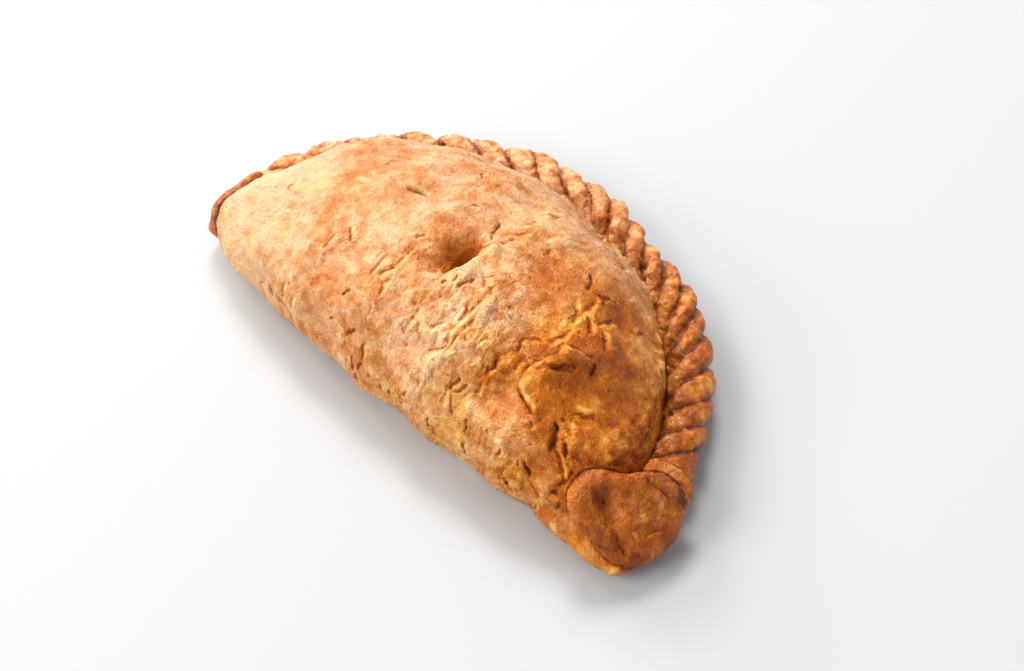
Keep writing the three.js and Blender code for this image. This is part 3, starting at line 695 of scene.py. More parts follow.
def lay_scrap(skin, place, seed):
    """Lays one pale scrap on the crust, with a ragged edge and a fine line of painted shadow round
    it.
    """
    px, py, half_x, half_y, degrees, high = place
    chosen = np.flatnonzero((np.hypot(skin.points[:, 0] - px, skin.points[:, 1] - py) < half_x * 2)
                            & (skin.normals[:, 2] > -0.2) & (case_down == 0))
    near = skin.points[chosen]
    along, across = turned(near, (px, py), degrees)
    far = np.hypot(along / half_x, across / half_y) + 0.3 * layered(near, 4.5, seed, 3)
    scrap = smooth_step(1.12, 0.88, far)
    skin.height[chosen] += high * scrap
    uneven = 0.75 + 0.6 * layered(near, 3.5, seed + 1, 2)
    skin.lip[chosen] = np.maximum(skin.lip[chosen], 0.75 * scrap * uneven)
    # The ring round the scrap is painted shadow.
    skin.crack[chosen] = np.maximum(skin.crack[chosen] * (1 - scrap), 0.55 * bell(far - 1.22, 0.12))


print(len(SCRAPS), "scraps, the longest", 2 * max(place[2] for place in SCRAPS), "mm")

# %% Tear the dough beside the groove, then lay on the scraps, the flakes and the cracks
TORN = dict(out=0.925, over=0.022, size=3.4, high=0.8)
SLITS = dict(out=0.955, over=0.024, size=2.0, deep=0.8)

torn = crimped * bell(case_out - TORN["out"], TORN["over"]) * (case_down == 0)
torn *= smooth_step(-0.1, 0.3, layered(crust.points, TORN["size"], 1190, 2))
crust.height += TORN["high"] * torn
crust.lip = np.maximum(crust.lip, torn)
slits = crimped * bell(case_out - SLITS["out"], SLITS["over"]) * (case_down == 0)
slits *= smooth_step(0.0, 0.3, layered(crust.points, SLITS["size"], 1195, 2))
# The slits are painted darker, as shade.
crust.crack = np.maximum(crust.crack, slits)
crust.height -= SLITS["deep"] * slits
for n, place in enumerate(SCRAPS):
    lay_scrap(crust, place, 1200 + n)
for n, (start, end, reach, lift, bend) in enumerate(LARGE_FLAKES):
    crust.lift_flake(start, end, reach, lift, bend, seed=200 + n)
for n, (start, end, wide, deep, bend) in enumerate(LARGE_CRACKS):
    crust.open_crack(start, end, wide, deep, bend, seed=300 + n)
print("lifted or cracked", round(float(((crust.lip > 0.5) | (crust.crack > 0.5)).mean()), 2),
      "of the crust")

# %% Strew small flakes and cracks
SMALL_FLAKES = 140
SMALL_CRACKS = 44
FACING_LIGHT = 0.8                    # the share of them that lift on the far end's side
STREW = np.random.default_rng(SEED)


def strewn_lines(skin, weight, count, lengths, spread):
    """Short lines that follow the stretch of the pastry, from the crimp down to the fold."""
    places = STREW.choice(len(skin.points), count, p=weight / weight.sum())
    for place in places:
        normal = skin.normals[place]
        degrees = 90 + STREW.normal(0, spread)
        stretch = np.array([np.cos(np.radians(degrees)), np.sin(np.radians(degrees)), 0])
        if normal[2] < 0.6:
            stretch = np.array([stretch[0], 0, stretch[1]])
        direction = stretch - normal * (stretch @ normal)
        direction *= STREW.uniform(*lengths) / 2 / np.linalg.norm(direction)
        direction *= -1 if STREW.random() < FACING_LIGHT else 1
        yield skin.points[place] - direction, skin.points[place] + direction


stretched = 0.10 + wrinkled + 0.5 * fold_side + 0.25 * towards_near_end
flaky = on_top * smooth_step(-85, -60, x) * stretched * (1 - 0.8 * glazed)
for n, (start, end) in enumerate(strewn_lines(crust, flaky, SMALL_FLAKES, (3, 12), 22)):
    crust.lift_flake(start, end, STREW.uniform(1.8, 5), STREW.uniform(0.25, 0.8),
                     STREW.uniform(-1.2, 1.2), seed=400 + n)
for n, (start, end) in enumerate(strewn_lines(crust, flaky, SMALL_CRACKS, (2, 8), 30)):
    crust.open_crack(start, end, STREW.uniform(0.5, 0.8), STREW.uniform(0.3, 0.8),
                     STREW.uniform(-0.8, 0.8), seed=700 + n)
print("relief from", round(float(crust.height.min()), 1),
      "to", round(float(crust.height.max()), 1), "mm")

# %% [markdown]
# ### How brown the crust is
# Egg glaze and heat colour the crust: pale and peachy at the far end, golden in the middle, deep
# orange where the glaze lies thick at the near end, and yellower down the folded side. The far end's
# paleness is partly a painted highlight where the window lights it, and the vent's trough and the
# wrinkles' valleys are browned further as painted shade. The shares are kept as attributes on the
# points, because the pattern belongs to this pasty's shape and no procedural texture could know it.

# %% Toast and glaze on the crust
# Spots of toast and of painted light: the pale spot at the far end, at (-77, 15), is partly a painted
# highlight, and the browner one on the toe, at (68, -7), is partly painted shade under the folded
# end.
TOAST_AND_PAINTED_LIGHT = [  # x, y, half sizes, turn, how much browner
    (60, 30, 26, 28, 20, 0.10), (85, 40, 14, 20, 0, -0.12), (47, 12, 5, 4, 0, 0.10),
    (59, 31, 6, 9, 20, 0.10), (62, 39, 3, 3, 0, -0.12), (80, 20, 16, 14, 0, 0.08),
    (46, 14, 14, 10, 60, 0.09), (-48, 36, 16, 12, 40, 0.08), (-25, 12, 14, 12, 0, 0.07),
    (11, 25, 10, 5, 80, -0.14), (-77, 15, 26, 20, 0, -0.24), (-60, 35, 22, 16, 30, 0.12),
    (-48, 14, 9, 7, 0, 0.10), (-25, 38, 34, 22, 0, 0.05), (-6, 33, 10, 6, 20, -0.06),
    (70, 10, 9, 5, 48, -0.11), (65, 13, 4, 3, 20, -0.12), (45, -4, 20, 8, 0, -0.05),
    (10, 2, 22, 8, 30, -0.10), (31, 18, 28, 7, 47, -0.14), (44, 34, 8, 6, 47, -0.06),
    (-23, 16, 8, 7, 0, -0.20), (-33, 47, 13, 9, 20, -0.18), (2, 53, 14, 10, 20, -0.16),
    (28, -10, 15, 7, 0, -0.10), (82, -9, 9, 6, 0, -0.06), (-70, -1, 16, 13, 0, -0.10),
    (55, 38, 12, 9, 0, 0.07), (-52, -3, 13, 7, 20, 0.12), (-20, -8, 30, 9, 0, 0.09),
    (65, 45, 12, 10, 0, -0.20), (51, 46, 6, 6, 0, 0.15), (-25, 63, 8, 6, 0, 0.18),
    (68, -7, 15, 5, 0, 0.04),
]
DRY_SPOTS = [  # x, y, half sizes, turn, how much more glaze: less where the brush missed
    (17, 11, 28, 9, 36, -0.12), (74, -8, 20, 7, 0, -0.12), (6, 35, 8, 8, 0, -0.12),
]
PALEST, UNDERSIDE = 0.15, 0.45        # the least toast on the crust, and the toast below it

# The vent's trough is browned further, as painted shade in the hollow.
toast = 0.29 + 0.13 * towards_near_end - 0.05 * fold_side + 0.46 * trough * vent_ends
toast += spots(crust.points, TOAST_AND_PAINTED_LIGHT)
toast += 0.07 * layered(bent, 16, 91, 2) + 0.08 * layered(bent, 5.5, 95, 3) - 0.06 * lumps
toast += 0.09 * glazed * layered(crust.points, 5.0, 99, 3)
# The wrinkles' valleys are browned further, as painted shade.
toast += 0.14 * (wrinkles - 0.3) * wrinkled + 0.12 * (fine_wrinkles - 0.3) * mix(0.4, 1, wrinkled)
toast = np.where(case_down > 1, UNDERSIDE, np.maximum(toast, PALEST))
glaze = 0.18 + 0.75 * glazed + 0.28 * towards_near_end + 0.16 * fold_side
glaze += 0.22 * layered(bent, 10, 97, 3) + spots(crust.points, DRY_SPOTS)
glaze = np.clip(glaze + 0.7 * trough * vent_ends + 0.1 * groove, 0, 1)
flakiness = np.clip(0.15 + 0.5 * wrinkled + 0.2 * towards_near_end - 0.3 * glazed, 0, 1)
print("toast from", round(float(toast.min()), 2), "to", round(float(toast.max()), 2))

# %% Turn a skin into a piece
def write_note(mesh, note, values):
    layer = mesh.attributes.get(note) or mesh.attributes.new(note, "FLOAT", "POINT")
    layer.data.foreach_set("value", np.asarray(values, np.float32))


def make_piece(name, points, faces, notes):
    """A mesh object at the origin, from points in plan millimetres, with notes as attributes."""
    mesh = bpy.data.meshes.new(name)
    mesh.from_pydata(((points - PLAN_CENTRE) * METRES).tolist(), [], faces)
    for note, values in notes.items():
        write_note(mesh, note, values)
    mesh.shade_smooth()
    return in_scene(name, mesh)


def finished_points(skin):
    points = skin.points + skin.normals * skin.height[:, None]
    points[:, 2] = np.maximum(points[:, 2], 0)
    return points


baked = finished_points(crust)
baked[case_down >= 1, 2] = 0
crust_piece = make_piece("crust", baked, case_quads.tolist() + case_fan.tolist(), {
    "toast": toast, "glaze": glaze, "lip": crust.lip, "crack": crust.crack, "flaky": flakiness,
})
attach(crust_piece, "root")
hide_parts("pasty")
print("crust", len(baked), "points, top at", round(float(baked[:, 2].max()), 1), "mm")

# %% [markdown]
# ## Building node trees
# Both the rope and the materials are made of nodes. They could be joined up by hand in the editor,
# but a script can build them again at any size. A few small helpers keep the trees readable: one
# adds a node and plugs its inputs in, and the others write a sum, a vector sum, noise or a threshold
# as one line each.

# %% Helpers for nodes
class Tree:
    """A node tree that is filled in step by step."""

    def __init__(self, name, kind, inputs=(), outputs=()):
        self.tree = bpy.data.node_groups.new(name, kind)
        for label, socket, value in inputs:
            made = self.tree.interface.new_socket(label, in_out="INPUT", socket_type=socket)
            if value is not None:
                made.default_value = value
        for label, socket in outputs:
            self.tree.interface.new_socket(label, in_out="OUTPUT", socket_type=socket)
        self.given = self.tree.nodes.new("NodeGroupInput").outputs
        self.result = self.tree.nodes.new("NodeGroupOutput").inputs

    def add(self, kind, plugs=None, **settings):
        made = self.tree.nodes.new(kind)
        for name, value in settings.items():
            setattr(made, name, value)
        for name, value in (plugs or {}).items():
            self.plug(value, made.inputs[name])
        return made

    def plug(self, value, socket):
        if isinstance(value, bpy.types.NodeSocket):
            self.tree.links.new(value, socket)
        else:
            socket.default_value = value

    def math(self, operation, *values):
        made = self.add("ShaderNodeMath", dict(enumerate(values)), operation=operation)
        return made.outputs[0]

    def vector(self, operation, *values):
        plugs = dict(enumerate(values))
        if operation == "SCALE":
            plugs = {0: values[0], "Scale": values[1]}
        made = self.add("ShaderNodeVectorMath", plugs, operation=operation)
        return made.outputs[0]

    def noise(self, vector, scale, detail, roughness=0.6, distortion=0.0):
        """Noise from 0 to 1."""
        made = self.add("ShaderNodeTexNoise", {
            "Vector": vector, "Scale": scale, "Detail": detail, "Roughness": roughness,
            "Distortion": distortion,
        })
        return made.outputs[0]

    def swing(self, vector, scale, detail, roughness=0.6):
        """Noise to both sides of 0."""
        return self.math("SUBTRACT", self.noise(vector, scale, detail, roughness), 0.5)

    def step(self, value, low, high, interpolation="SMOOTHSTEP"):
        """A threshold: 0 up to low, 1 from high on, and a ramp between them."""
        made = self.add("ShaderNodeMapRange", {"Value": value, "From Min": low, "From Max": high},
                        interpolation_type=interpolation)
        return made.outputs[0]


def set_inputs(modifier, tree, values):
    """Sets a modifier's inputs, which are kept under each socket's identifier."""
    for item in tree.interface.items_tree:
        if item.item_type == "SOCKET" and item.in_out == "INPUT" and item.name in values:
            modifier[item.identifier] = values[item.name]


print("a tree can", [name for name in vars(Tree) if not name.startswith("_")])

# %% [markdown]
# ## The rope crimp
# The crimp is made by folding the edge over itself, pleat after pleat: each comes up from below
# on the outside, crosses the top and is pressed down into the groove, a little further along. An
# Array modifier along a curve would make them all alike. Geometry Nodes let each differ: every point
# of the input is one pleat, with its place and size in attributes, and a straight bar is bent along
# the path for each of them.

# %% The rope's path and its pleats
ROPE_MIDDLE = (-7.5, 0.0)
ROPE_RADIUS = 95.8
ROPE_HEIGHT = 8.8
CORE_HALF = (12.0, 4.8)               # half the width and height of the pastry under the pleats
CORE_SHIFT = (-6.0, -1.0)             # inwards and down from the path
CORE_TRIM = (0.05, 0.95)              # where on the path it starts and ends
ROPE_FIRST, ROPE_LAST = 172.0, 14.0   # in degrees round the middle, as all places on the rope are
ROPE_SPARE = 8.0                      # how far the path runs on past its ends
PATH_STEPS = 600
DRAW_IN = dict(far=6.0, start=156.0, end=174.0)
PLEAT_COUNT = 24
PLEAT_FIRST = 171.7
PLEAT_PITCH = 6.7
PLEAT_JITTER = 1.2
PLEAT_THICKNESS = 3.9
PLEAT_SPREAD = 0.6                    # half its width, as a share of the room it has
PLEAT_OFFSET = (6.0, 4.8)             # how far its middle line is from the path, out and up
PLEAT_RUN = 40.0                      # how far along the path it travels
PLEAT_ANCHOR = 0.35                   # the share of that run that lies before its place
PLEAT_SWEEP = (-35.0, 195.0)          # the angles round the path at which it starts and ends
PLEAT_TAPER = 0.12
RUN_VARIES = (0.85, 1.15)
SIZE_VARIES = (0.92, 1.14)
NEAR_TWIST = dict(start=32, end=60, run=0.68)
FAR_TWIST = dict(start=80, end=125, run=0.47)
NEAR_PLEATS = dict(start=34, end=58, offset=0.97, flatter=1.35)
FAR_PLEATS = dict(start=150, end=170, size=0.8)


def rope_path(degrees):
    radius = ROPE_RADIUS + stray(degrees)
    radius = radius - DRAW_IN["far"] * smooth_step(DRAW_IN["start"], DRAW_IN["end"], degrees)
    x = ROPE_MIDDLE[0] + radius * np.cos(np.radians(degrees))
    y = ROPE_MIDDLE[1] + radius * np.sin(np.radians(degrees))
    return np.stack([x, y, np.full_like(x, ROPE_HEIGHT)], axis=-1)


path_degrees = np.linspace(ROPE_FIRST + ROPE_SPARE, ROPE_LAST - ROPE_SPARE, PATH_STEPS)
path_points = rope_path(path_degrees)
path_steps = np.linalg.norm(np.diff(path_points, axis=0), axis=1)
path_length = np.concatenate([[0], np.cumsum(path_steps)])
print("the rope's path is", round(float(path_length[-1])), "mm long")

# %% One input point for each pleat
pleat_numbers = np.arange(PLEAT_COUNT)
pleat_place = (PLEAT_FIRST - pleat_numbers * PLEAT_PITCH
               + (chance(pleat_numbers) - 0.5) * 2 * PLEAT_JITTER)
near_share = 1 - smooth_step(NEAR_PLEATS["start"], NEAR_PLEATS["end"], pleat_place)
far_share = smooth_step(FAR_PLEATS["start"], FAR_PLEATS["end"], pleat_place)
flatter = mix(1, NEAR_PLEATS["flatter"], near_share)
offset = mix(1, NEAR_PLEATS["offset"], near_share)
run = PLEAT_RUN * mix(*RUN_VARIES, chance(40 + pleat_numbers))
run *= mix(NEAR_TWIST["run"], 1, smooth_step(NEAR_TWIST["start"], NEAR_TWIST["end"], pleat_place))
run *= mix(1, FAR_TWIST["run"], smooth_step(FAR_TWIST["start"], FAR_TWIST["end"], pleat_place))
size = mix(*SIZE_VARIES, chance(60 + pleat_numbers)) * mix(1, FAR_PLEATS["size"], far_share)
crossing = offset * np.mean(PLEAT_OFFSET) * np.radians(PLEAT_SWEEP[1] - PLEAT_SWEEP[0])
room = np.radians(PLEAT_PITCH) * ROPE_RADIUS * crossing / np.hypot(crossing, run)
pleat_notes = {
    "place": np.interp(-pleat_place, -path_degrees, path_length) * METRES,
    "run": run * METRES,
    "offset": offset,
    "thickness": size * PLEAT_THICKNESS / flatter * METRES,
    "width": size * PLEAT_SPREAD * room * flatter * METRES,
}
pleat_points = bpy.data.meshes.new("pleat points")
pleat_points.from_pydata([(0, 0, 0)] * PLEAT_COUNT, [], [])
for note, values in pleat_notes.items():
    write_note(pleat_points, note, values)

path_curve = bpy.data.curves.new("rope path", "CURVE")
path_curve.dimensions = "3D"
spline = path_curve.splines.new("POLY")
spline.points.add(len(path_points) - 1)
placed = (path_points - PLAN_CENTRE) * METRES
spline.points.foreach_set("co", np.column_stack([placed, np.ones(len(placed))]).ravel())
path_object = in_scene("rope path", path_curve)
print("pleats every", round(ROPE_RADIUS * np.radians(PLEAT_PITCH), 1), "mm")

# %% The tree that bends a bar into each pleat
rope_tree = Tree("Rope crimp", "GeometryNodeTree", inputs=[
    ("Pleats", "NodeSocketGeometry", None),
    ("Path", "NodeSocketObject", None),
    ("Anchor", "NodeSocketFloat", PLEAT_ANCHOR),
    ("Offset out", "NodeSocketFloat", PLEAT_OFFSET[0] * METRES),
    ("Offset up", "NodeSocketFloat", PLEAT_OFFSET[1] * METRES),
    ("Sweep start", "NodeSocketFloat", float(np.radians(PLEAT_SWEEP[0]))),
    ("Sweep end", "NodeSocketFloat", float(np.radians(PLEAT_SWEEP[1]))),
    ("Taper", "NodeSocketFloat", PLEAT_TAPER),
    ("Steps", "NodeSocketInt", 40),
    ("Sides", "NodeSocketInt", 28),
    ("Material", "NodeSocketMaterial", None),
], outputs=[("Geometry", "NodeSocketGeometry")])
given = rope_tree.given
rope_tree.tree.is_modifier = True

bar = rope_tree.add("GeometryNodeMeshCylinder", {
    "Vertices": given["Sides"], "Side Segments": given["Steps"], "Radius": 1.0, "Depth": 1.0,
}, fill_type="TRIANGLE_FAN")
bars = rope_tree.add("GeometryNodeInstanceOnPoints", {
    "Points": given["Pleats"], "Instance": bar.outputs["Mesh"],
})
bars = rope_tree.add("GeometryNodeRealizeInstances", {"Geometry": bars.outputs[0]})
where = rope_tree.add("GeometryNodeInputPosition").outputs[0]
local = rope_tree.add("ShaderNodeSeparateXYZ", {0: where}).outputs


def pleat_note(name):
    return rope_tree.add("GeometryNodeInputNamedAttribute", {"Name": name},
                         data_type="FLOAT").outputs["Attribute"]


math, vector = rope_tree.math, rope_tree.vector
along = math("ADD", local["Z"], 0.5)
sweep = math("SUBTRACT", given["Sweep end"], given["Sweep start"])
angle = math("MULTIPLY_ADD", along, sweep, given["Sweep start"])
length = math("MULTIPLY_ADD", math("SUBTRACT", along, given["Anchor"]), pleat_note("run"),
              pleat_note("place"))
path = rope_tree.add("GeometryNodeObjectInfo", {"Object": given["Path"]},
                     transform_space="ORIGINAL")
sample = rope_tree.add("GeometryNodeSampleCurve", {
    "Curves": path.outputs["Geometry"], "Length": length,
}, mode="LENGTH", use_all_curves=True)
tangent = sample.outputs["Tangent"]
up = (0.0, 0.0, 1.0)
outward = vector("NORMALIZE", vector("CROSS_PRODUCT", up, tangent))
print("the tree has", len(rope_tree.tree.nodes), "nodes so far")

# %% Bend, swell and place the pleats
out_by = math("MULTIPLY", given["Offset out"], pleat_note("offset"))
up_by = math("MULTIPLY", given["Offset up"], pleat_note("offset"))
cosine, sine = math("COSINE", angle), math("SINE", angle)
from_path = vector("ADD",
                   vector("SCALE", outward, math("MULTIPLY", out_by, cosine)),
                   vector("SCALE", up, math("MULTIPLY", up_by, sine)))
lift = vector("NORMALIZE", from_path)
turning = vector("SUBTRACT",
                 vector("SCALE", up, math("MULTIPLY", up_by, cosine)),
                 vector("SCALE", outward, math("MULTIPLY", out_by, sine)))
ahead = vector("ADD",
               vector("SCALE", tangent, pleat_note("run")),
               vector("SCALE", turning, sweep))
across = vector("NORMALIZE", vector("CROSS_PRODUCT", ahead, lift))
untapered = math("SUBTRACT", 1.0, math("MULTIPLY", given["Taper"], 2.0))
swelling = math("SQRT", math("SINE", math("MULTIPLY", math(
    "MULTIPLY_ADD", along, untapered, given["Taper"]), float(np.pi))))
thick = math("MULTIPLY", pleat_note("thickness"), swelling)
wide = math("MULTIPLY", pleat_note("width"), swelling)
placed = vector("ADD", sample.outputs["Position"], from_path)
placed = vector("ADD", placed, vector("SCALE", lift, math("MULTIPLY", thick, local["X"])))
placed = vector("ADD", placed, vector("SCALE", across, math("MULTIPLY", wide, local["Y"])))
bent_bars = rope_tree.add("GeometryNodeSetPosition", {
    "Geometry": bars.outputs[0], "Position": placed,
})

profile = rope_tree.add("GeometryNodeCurvePrimitiveCircle", {"Resolution": 32, "Radius": METRES})
profile = rope_tree.add("GeometryNodeTransform", {
    "Geometry": profile.outputs[0],
    "Translation": (-CORE_SHIFT[0] * METRES, -CORE_SHIFT[1] * METRES, 0.0),
    "Scale": (CORE_HALF[0], CORE_HALF[1], 1.0),
})
trimmed = rope_tree.add("GeometryNodeTrimCurve", {
    "Curve": path.outputs["Geometry"], 2: CORE_TRIM[0], 3: CORE_TRIM[1],
}, mode="FACTOR")
upright = rope_tree.add("GeometryNodeSetCurveNormal", {"Curve": trimmed.outputs[0]}, mode="Z_UP")
core = rope_tree.add("GeometryNodeCurveToMesh", {
    "Curve": upright.outputs[0], "Profile Curve": profile.outputs[0], "Fill Caps": True,
})
joined = rope_tree.add("GeometryNodeJoinGeometry")
rope_tree.plug(bent_bars.outputs[0], joined.inputs[0])
rope_tree.plug(core.outputs[0], joined.inputs[0])
whole = rope_tree.add("GeometryNodeRealizeInstances", {"Geometry": joined.outputs[0]})
whole = rope_tree.add("GeometryNodeSetMaterial", {
    "Geometry": whole.outputs[0], "Material": given["Material"],
})
rope_tree.plug(whole.outputs[0], rope_tree.result[0])

rope_maker = in_scene("rope maker", pleat_points)
crimping = rope_maker.modifiers.new("Crimp", "NODES")
crimping.node_group = rope_tree.tree
set_inputs(crimping, rope_tree.tree, {"Path": path_object})


def plain_mesh(maker):
    """The evaluated result of an object's modifiers as a mesh of its own."""
    bpy.context.view_layer.update()
    graph = bpy.context.evaluated_depsgraph_get()
    return bpy.data.meshes.new_from_object(maker.evaluated_get(graph))


loose_rope = plain_mesh(rope_maker)
corners = np.array([corner.co for corner in loose_rope.vertices])
print("rope", len(corners), "points from", np.round(corners.min(0) / METRES),
      "to", np.round(corners.max(0) / METRES), "mm")

# %% [markdown]
# ### Fusing the rope
# The pleats and the pastry under them are one dough. A boolean union would join them, but with sharp
# slots in between. A voxel remesh fuses them, and rounds the creases as baking does.

# %% Fuse the pleats
ROPE_VOXEL = 0.52


def fused(mesh, voxel):
    maker = in_scene("dough", mesh)
    remesh = maker.modifiers.new("Fuse", "REMESH")
    remesh.mode = "VOXEL"
    remesh.voxel_size = voxel * METRES
    soften = maker.modifiers.new("Soften", "SMOOTH")
    soften.factor = 0.5
    soften.iterations = 2
    result = plain_mesh(maker)
    bpy.data.objects.remove(maker)
    return result


def points_and_quads(mesh):
    points = np.empty(len(mesh.vertices) * 3, np.float32)
    mesh.vertices.foreach_get("co", points)
    corners = np.empty(len(mesh.loops), np.int32)
    mesh.loops.foreach_get("vertex_index", corners)
    return points.reshape(-1, 3) / METRES + PLAN_CENTRE, corners.reshape(-1, 4)


rope_mesh = fused(loose_rope, ROPE_VOXEL)
rope_points, rope_quads = points_and_quads(rope_mesh)
bpy.data.objects.remove(rope_maker)
bpy.data.objects.remove(path_object)
print("fused rope", len(rope_points), "points,", 2 * len(rope_quads), "triangles")

# %% Which pleat each point lies on
LINE_STEPS = 30
CREASE_WIDTH = 0.9
PLEAT_REACH = 6.5                     # points further than this from every pleat lie on the core


def pleat_lines():
    """The middle line of each pleat, as a row of points."""
    along = np.linspace(0, 1, LINE_STEPS)
    angle = np.radians(mix(*PLEAT_SWEEP, along))
    lines = []
    for n in range(PLEAT_COUNT):
        length = (pleat_notes["place"][n] + (along - PLEAT_ANCHOR) * pleat_notes["run"][n]) / METRES
        degrees = np.interp(length, path_length, path_degrees)
        middle = rope_path(degrees)
        outwards = np.stack([np.cos(np.radians(degrees)), np.sin(np.radians(degrees)),
                             np.zeros(LINE_STEPS)], axis=-1)
        middle = middle + outwards * (offset[n] * PLEAT_OFFSET[0] * np.cos(angle))[:, None]
        middle[:, 2] += offset[n] * PLEAT_OFFSET[1] * np.sin(angle)
        lines.append(middle)
    return np.array(lines)


middle_lines = pleat_lines()
far_from = np.empty((PLEAT_COUNT, len(rope_points)))
along_pleat = np.empty((PLEAT_COUNT, len(rope_points)))
for n, line in enumerate(middle_lines):
    gaps = np.linalg.norm(rope_points[:, None] - line[None], axis=2)
    far_from[n] = gaps.min(axis=1)
    along_pleat[n] = gaps.argmin(axis=1) / (LINE_STEPS - 1)
order = np.argsort(far_from, axis=0)
nearest = order[0]
everyone = np.arange(len(rope_points))
first_gap = far_from[nearest, everyone]
second_gap = far_from[order[1], everyone]
crease = bell(second_gap - first_gap, CREASE_WIDTH) * (first_gap < PLEAT_REACH)
along_own = along_pleat[nearest, everyone]
print("creases cover", round(float((crease > 0.5).mean()), 2), "of the rope")

# %% The rope's own relief
ROUNDED_OVER = 3.2                    # how far from a crease a pleat has its full swelling

rope = baked_skin(rope_points, rope_quads)
lengthwise = rope_points + 2.0 * np.column_stack([
    noise(rope_points, 6, 501), noise(rope_points, 6, 502), noise(rope_points, 6, 503)])
rope.height += 0.7 * layered(lengthwise, 6.5, 511, 2) + 0.3 * layered(lengthwise, 2.8, 515, 2)
folds = valleys(layered(lengthwise, 3.4, 521, 2), 2.4)
rope.height -= 0.28 * folds
rope_degrees = np.degrees(np.arctan2(rope_points[:, 1] - ROPE_MIDDLE[1],
                                     rope_points[:, 0] - ROPE_MIDDLE[0]))
near_pleat = smooth_step(NEAR_PLEATS["end"], NEAR_PLEATS["start"], rope_degrees)
rounded = smooth_step(0, ROUNDED_OVER, second_gap - first_gap) * (first_gap < PLEAT_REACH)
rope.height += near_pleat * (0.9 * rounded - 0.45)
rope.height -= 0.35 * crease
rope.height += 0.05 * layered(rope_points, 1.2, 531, 2)
# Painted shade in the creases between the pleats and in the folds.
rope.crack = np.clip(0.65 * crease + 0.25 * folds, 0, 0.7)
print("rope relief from", round(float(rope.height.min()), 1),
      "to", round(float(rope.height.max()), 1), "mm")

# %% Brown and glaze the rope
CRIMP_FLAKINESS = 0.35

# The pleats' tops are painted paler as a highlight; the torn dough in the groove is paler in its own
# colour.
pleat_top_highlight = bell(first_gap - PLEAT_THICKNESS, 1.2) * smooth_step(0.25, 0.45, along_own)
in_groove = smooth_step(0.72, 0.95, along_own)
rope.lip = np.clip(0.35 * pleat_top_highlight * (layered(rope_points, 3, 541, 2) + 0.6)
                   + 0.5 * in_groove * (layered(rope_points, 2.2, 551, 2) > 0.15), 0, 1)
along_rope = np.interp(-rope_degrees, -path_degrees, np.linspace(0, 1, PATH_STEPS))
rope_toast = mix(0.46, 0.48, smooth_step(0.3, 0.8, along_rope)) - 0.08 * bell(along_rope - 0.55, 0.16)
rope_toast += 0.12 * (chance(800 + nearest) - 0.5) + 0.20 * layered(rope_points, 5, 561, 3)
# Each pleat is painted darker on its flanks and at its low outer start, as shade, and the groove's
# dough paler.
rope_toast += 0.20 * (1 - rounded) + 0.10 * (1 - smooth_step(0.0, 0.4, along_own)) - 0.14 * in_groove
rope_glaze = np.clip(0.22 + 0.65 * smooth_step(0.4, 0.8, along_rope)
                     + 0.2 * layered(rope_points, 8, 571, 2), 0, 1)

crimp_points = finished_points(rope)
crimp_piece = make_piece("crimp", crimp_points, rope_quads.tolist(), {
    "toast": rope_toast, "glaze": rope_glaze, "lip": rope.lip, "crack": rope.crack,
    "flaky": np.full(len(crimp_points), CRIMP_FLAKINESS),
})
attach(crimp_piece, "root")
print("crimp top at", round(float(crimp_points[:, 2].max()), 1), "mm")

# %% [markdown]
# ## The folded ends
# At each end the last of the rope is folded over onto the case and pressed flat, a thick round
# tab with a raised rim. It could be sculpted from a ball, but its dents would then stray from those
# of the solid. Instead a disc of points with the solid's outline and dents is lofted back into the
# case, and gets its own creases where a thumb pushed it down.

# %% The rule of a folded end
NEAR_TAB = dict(
    at=(89.9, 5.6, 16.0), facing=(0.69, -0.22, 0.69), size=15.9,
    lobes=((2, 0.148, 68), (3, 0.114, -31), (4, 0.03, 173)), proud=4.2, back=15.0, lip=0.35,
    dents=(((-0.40, -0.42), (0.26, 0.32), 2.6), ((-0.40, 0.28), (0.14, 0.42), 1.5)),
)
LAST_FOLD = dict(
    at=(91.2, 21.4, 17.0), facing=(0.5, 0.15, 0.85), size=7.2,
    lobes=((2, 0.2, 180),), proud=2.6, back=9.0, lip=0.3, dents=(),
)
FAR_TAB = dict(
    at=(-97.0, 9.5, 14.0), facing=(-0.94, -0.1, 0.3), size=12.8,
    lobes=((2, 0.06, 20), (4, 0.08, 180)), proud=2.8, back=12.0, lip=0.6,
    dents=(((0.0, -0.2), (0.4, 0.4), 1.0),),
)
TAB_CLEARANCE = 0.3                   # the least height of its surface over the floor
TAB_LIP = dict(at=0.82, wide=0.18)
TAB_BACK_SIZE = 0.8                   # how much smaller it is where it sinks into the case


def tab_axes(tab):
    facing = np.array(tab["facing"]) / np.linalg.norm(tab["facing"])
    across = np.cross((0, 0, 1), facing)
    across /= np.linalg.norm(across)
    return across, np.cross(across, facing), facing


def tab_height(tab, u, v, out):
    rounded = tab["proud"] * np.sqrt(np.clip(1 - out ** 5, 0, 1))
    lip = tab["lip"] * bell(out - TAB_LIP["at"], TAB_LIP["wide"])
    pressed = np.zeros_like(u)
    for at, size, deep in tab["dents"]:
        pressed += deep * bell(u - at[0], size[0]) * bell(v - at[1], size[1])
    return rounded + (lip - pressed) * (1 - out ** 6)


print("the folded ends stand", [tab["proud"] for tab in (NEAR_TAB, LAST_FOLD, FAR_TAB)], "mm proud")

# %% Points and faces of a folded end
TAB_TURNS = 280
TAB_RINGS = 76
TAB_BACK_RINGS = 24


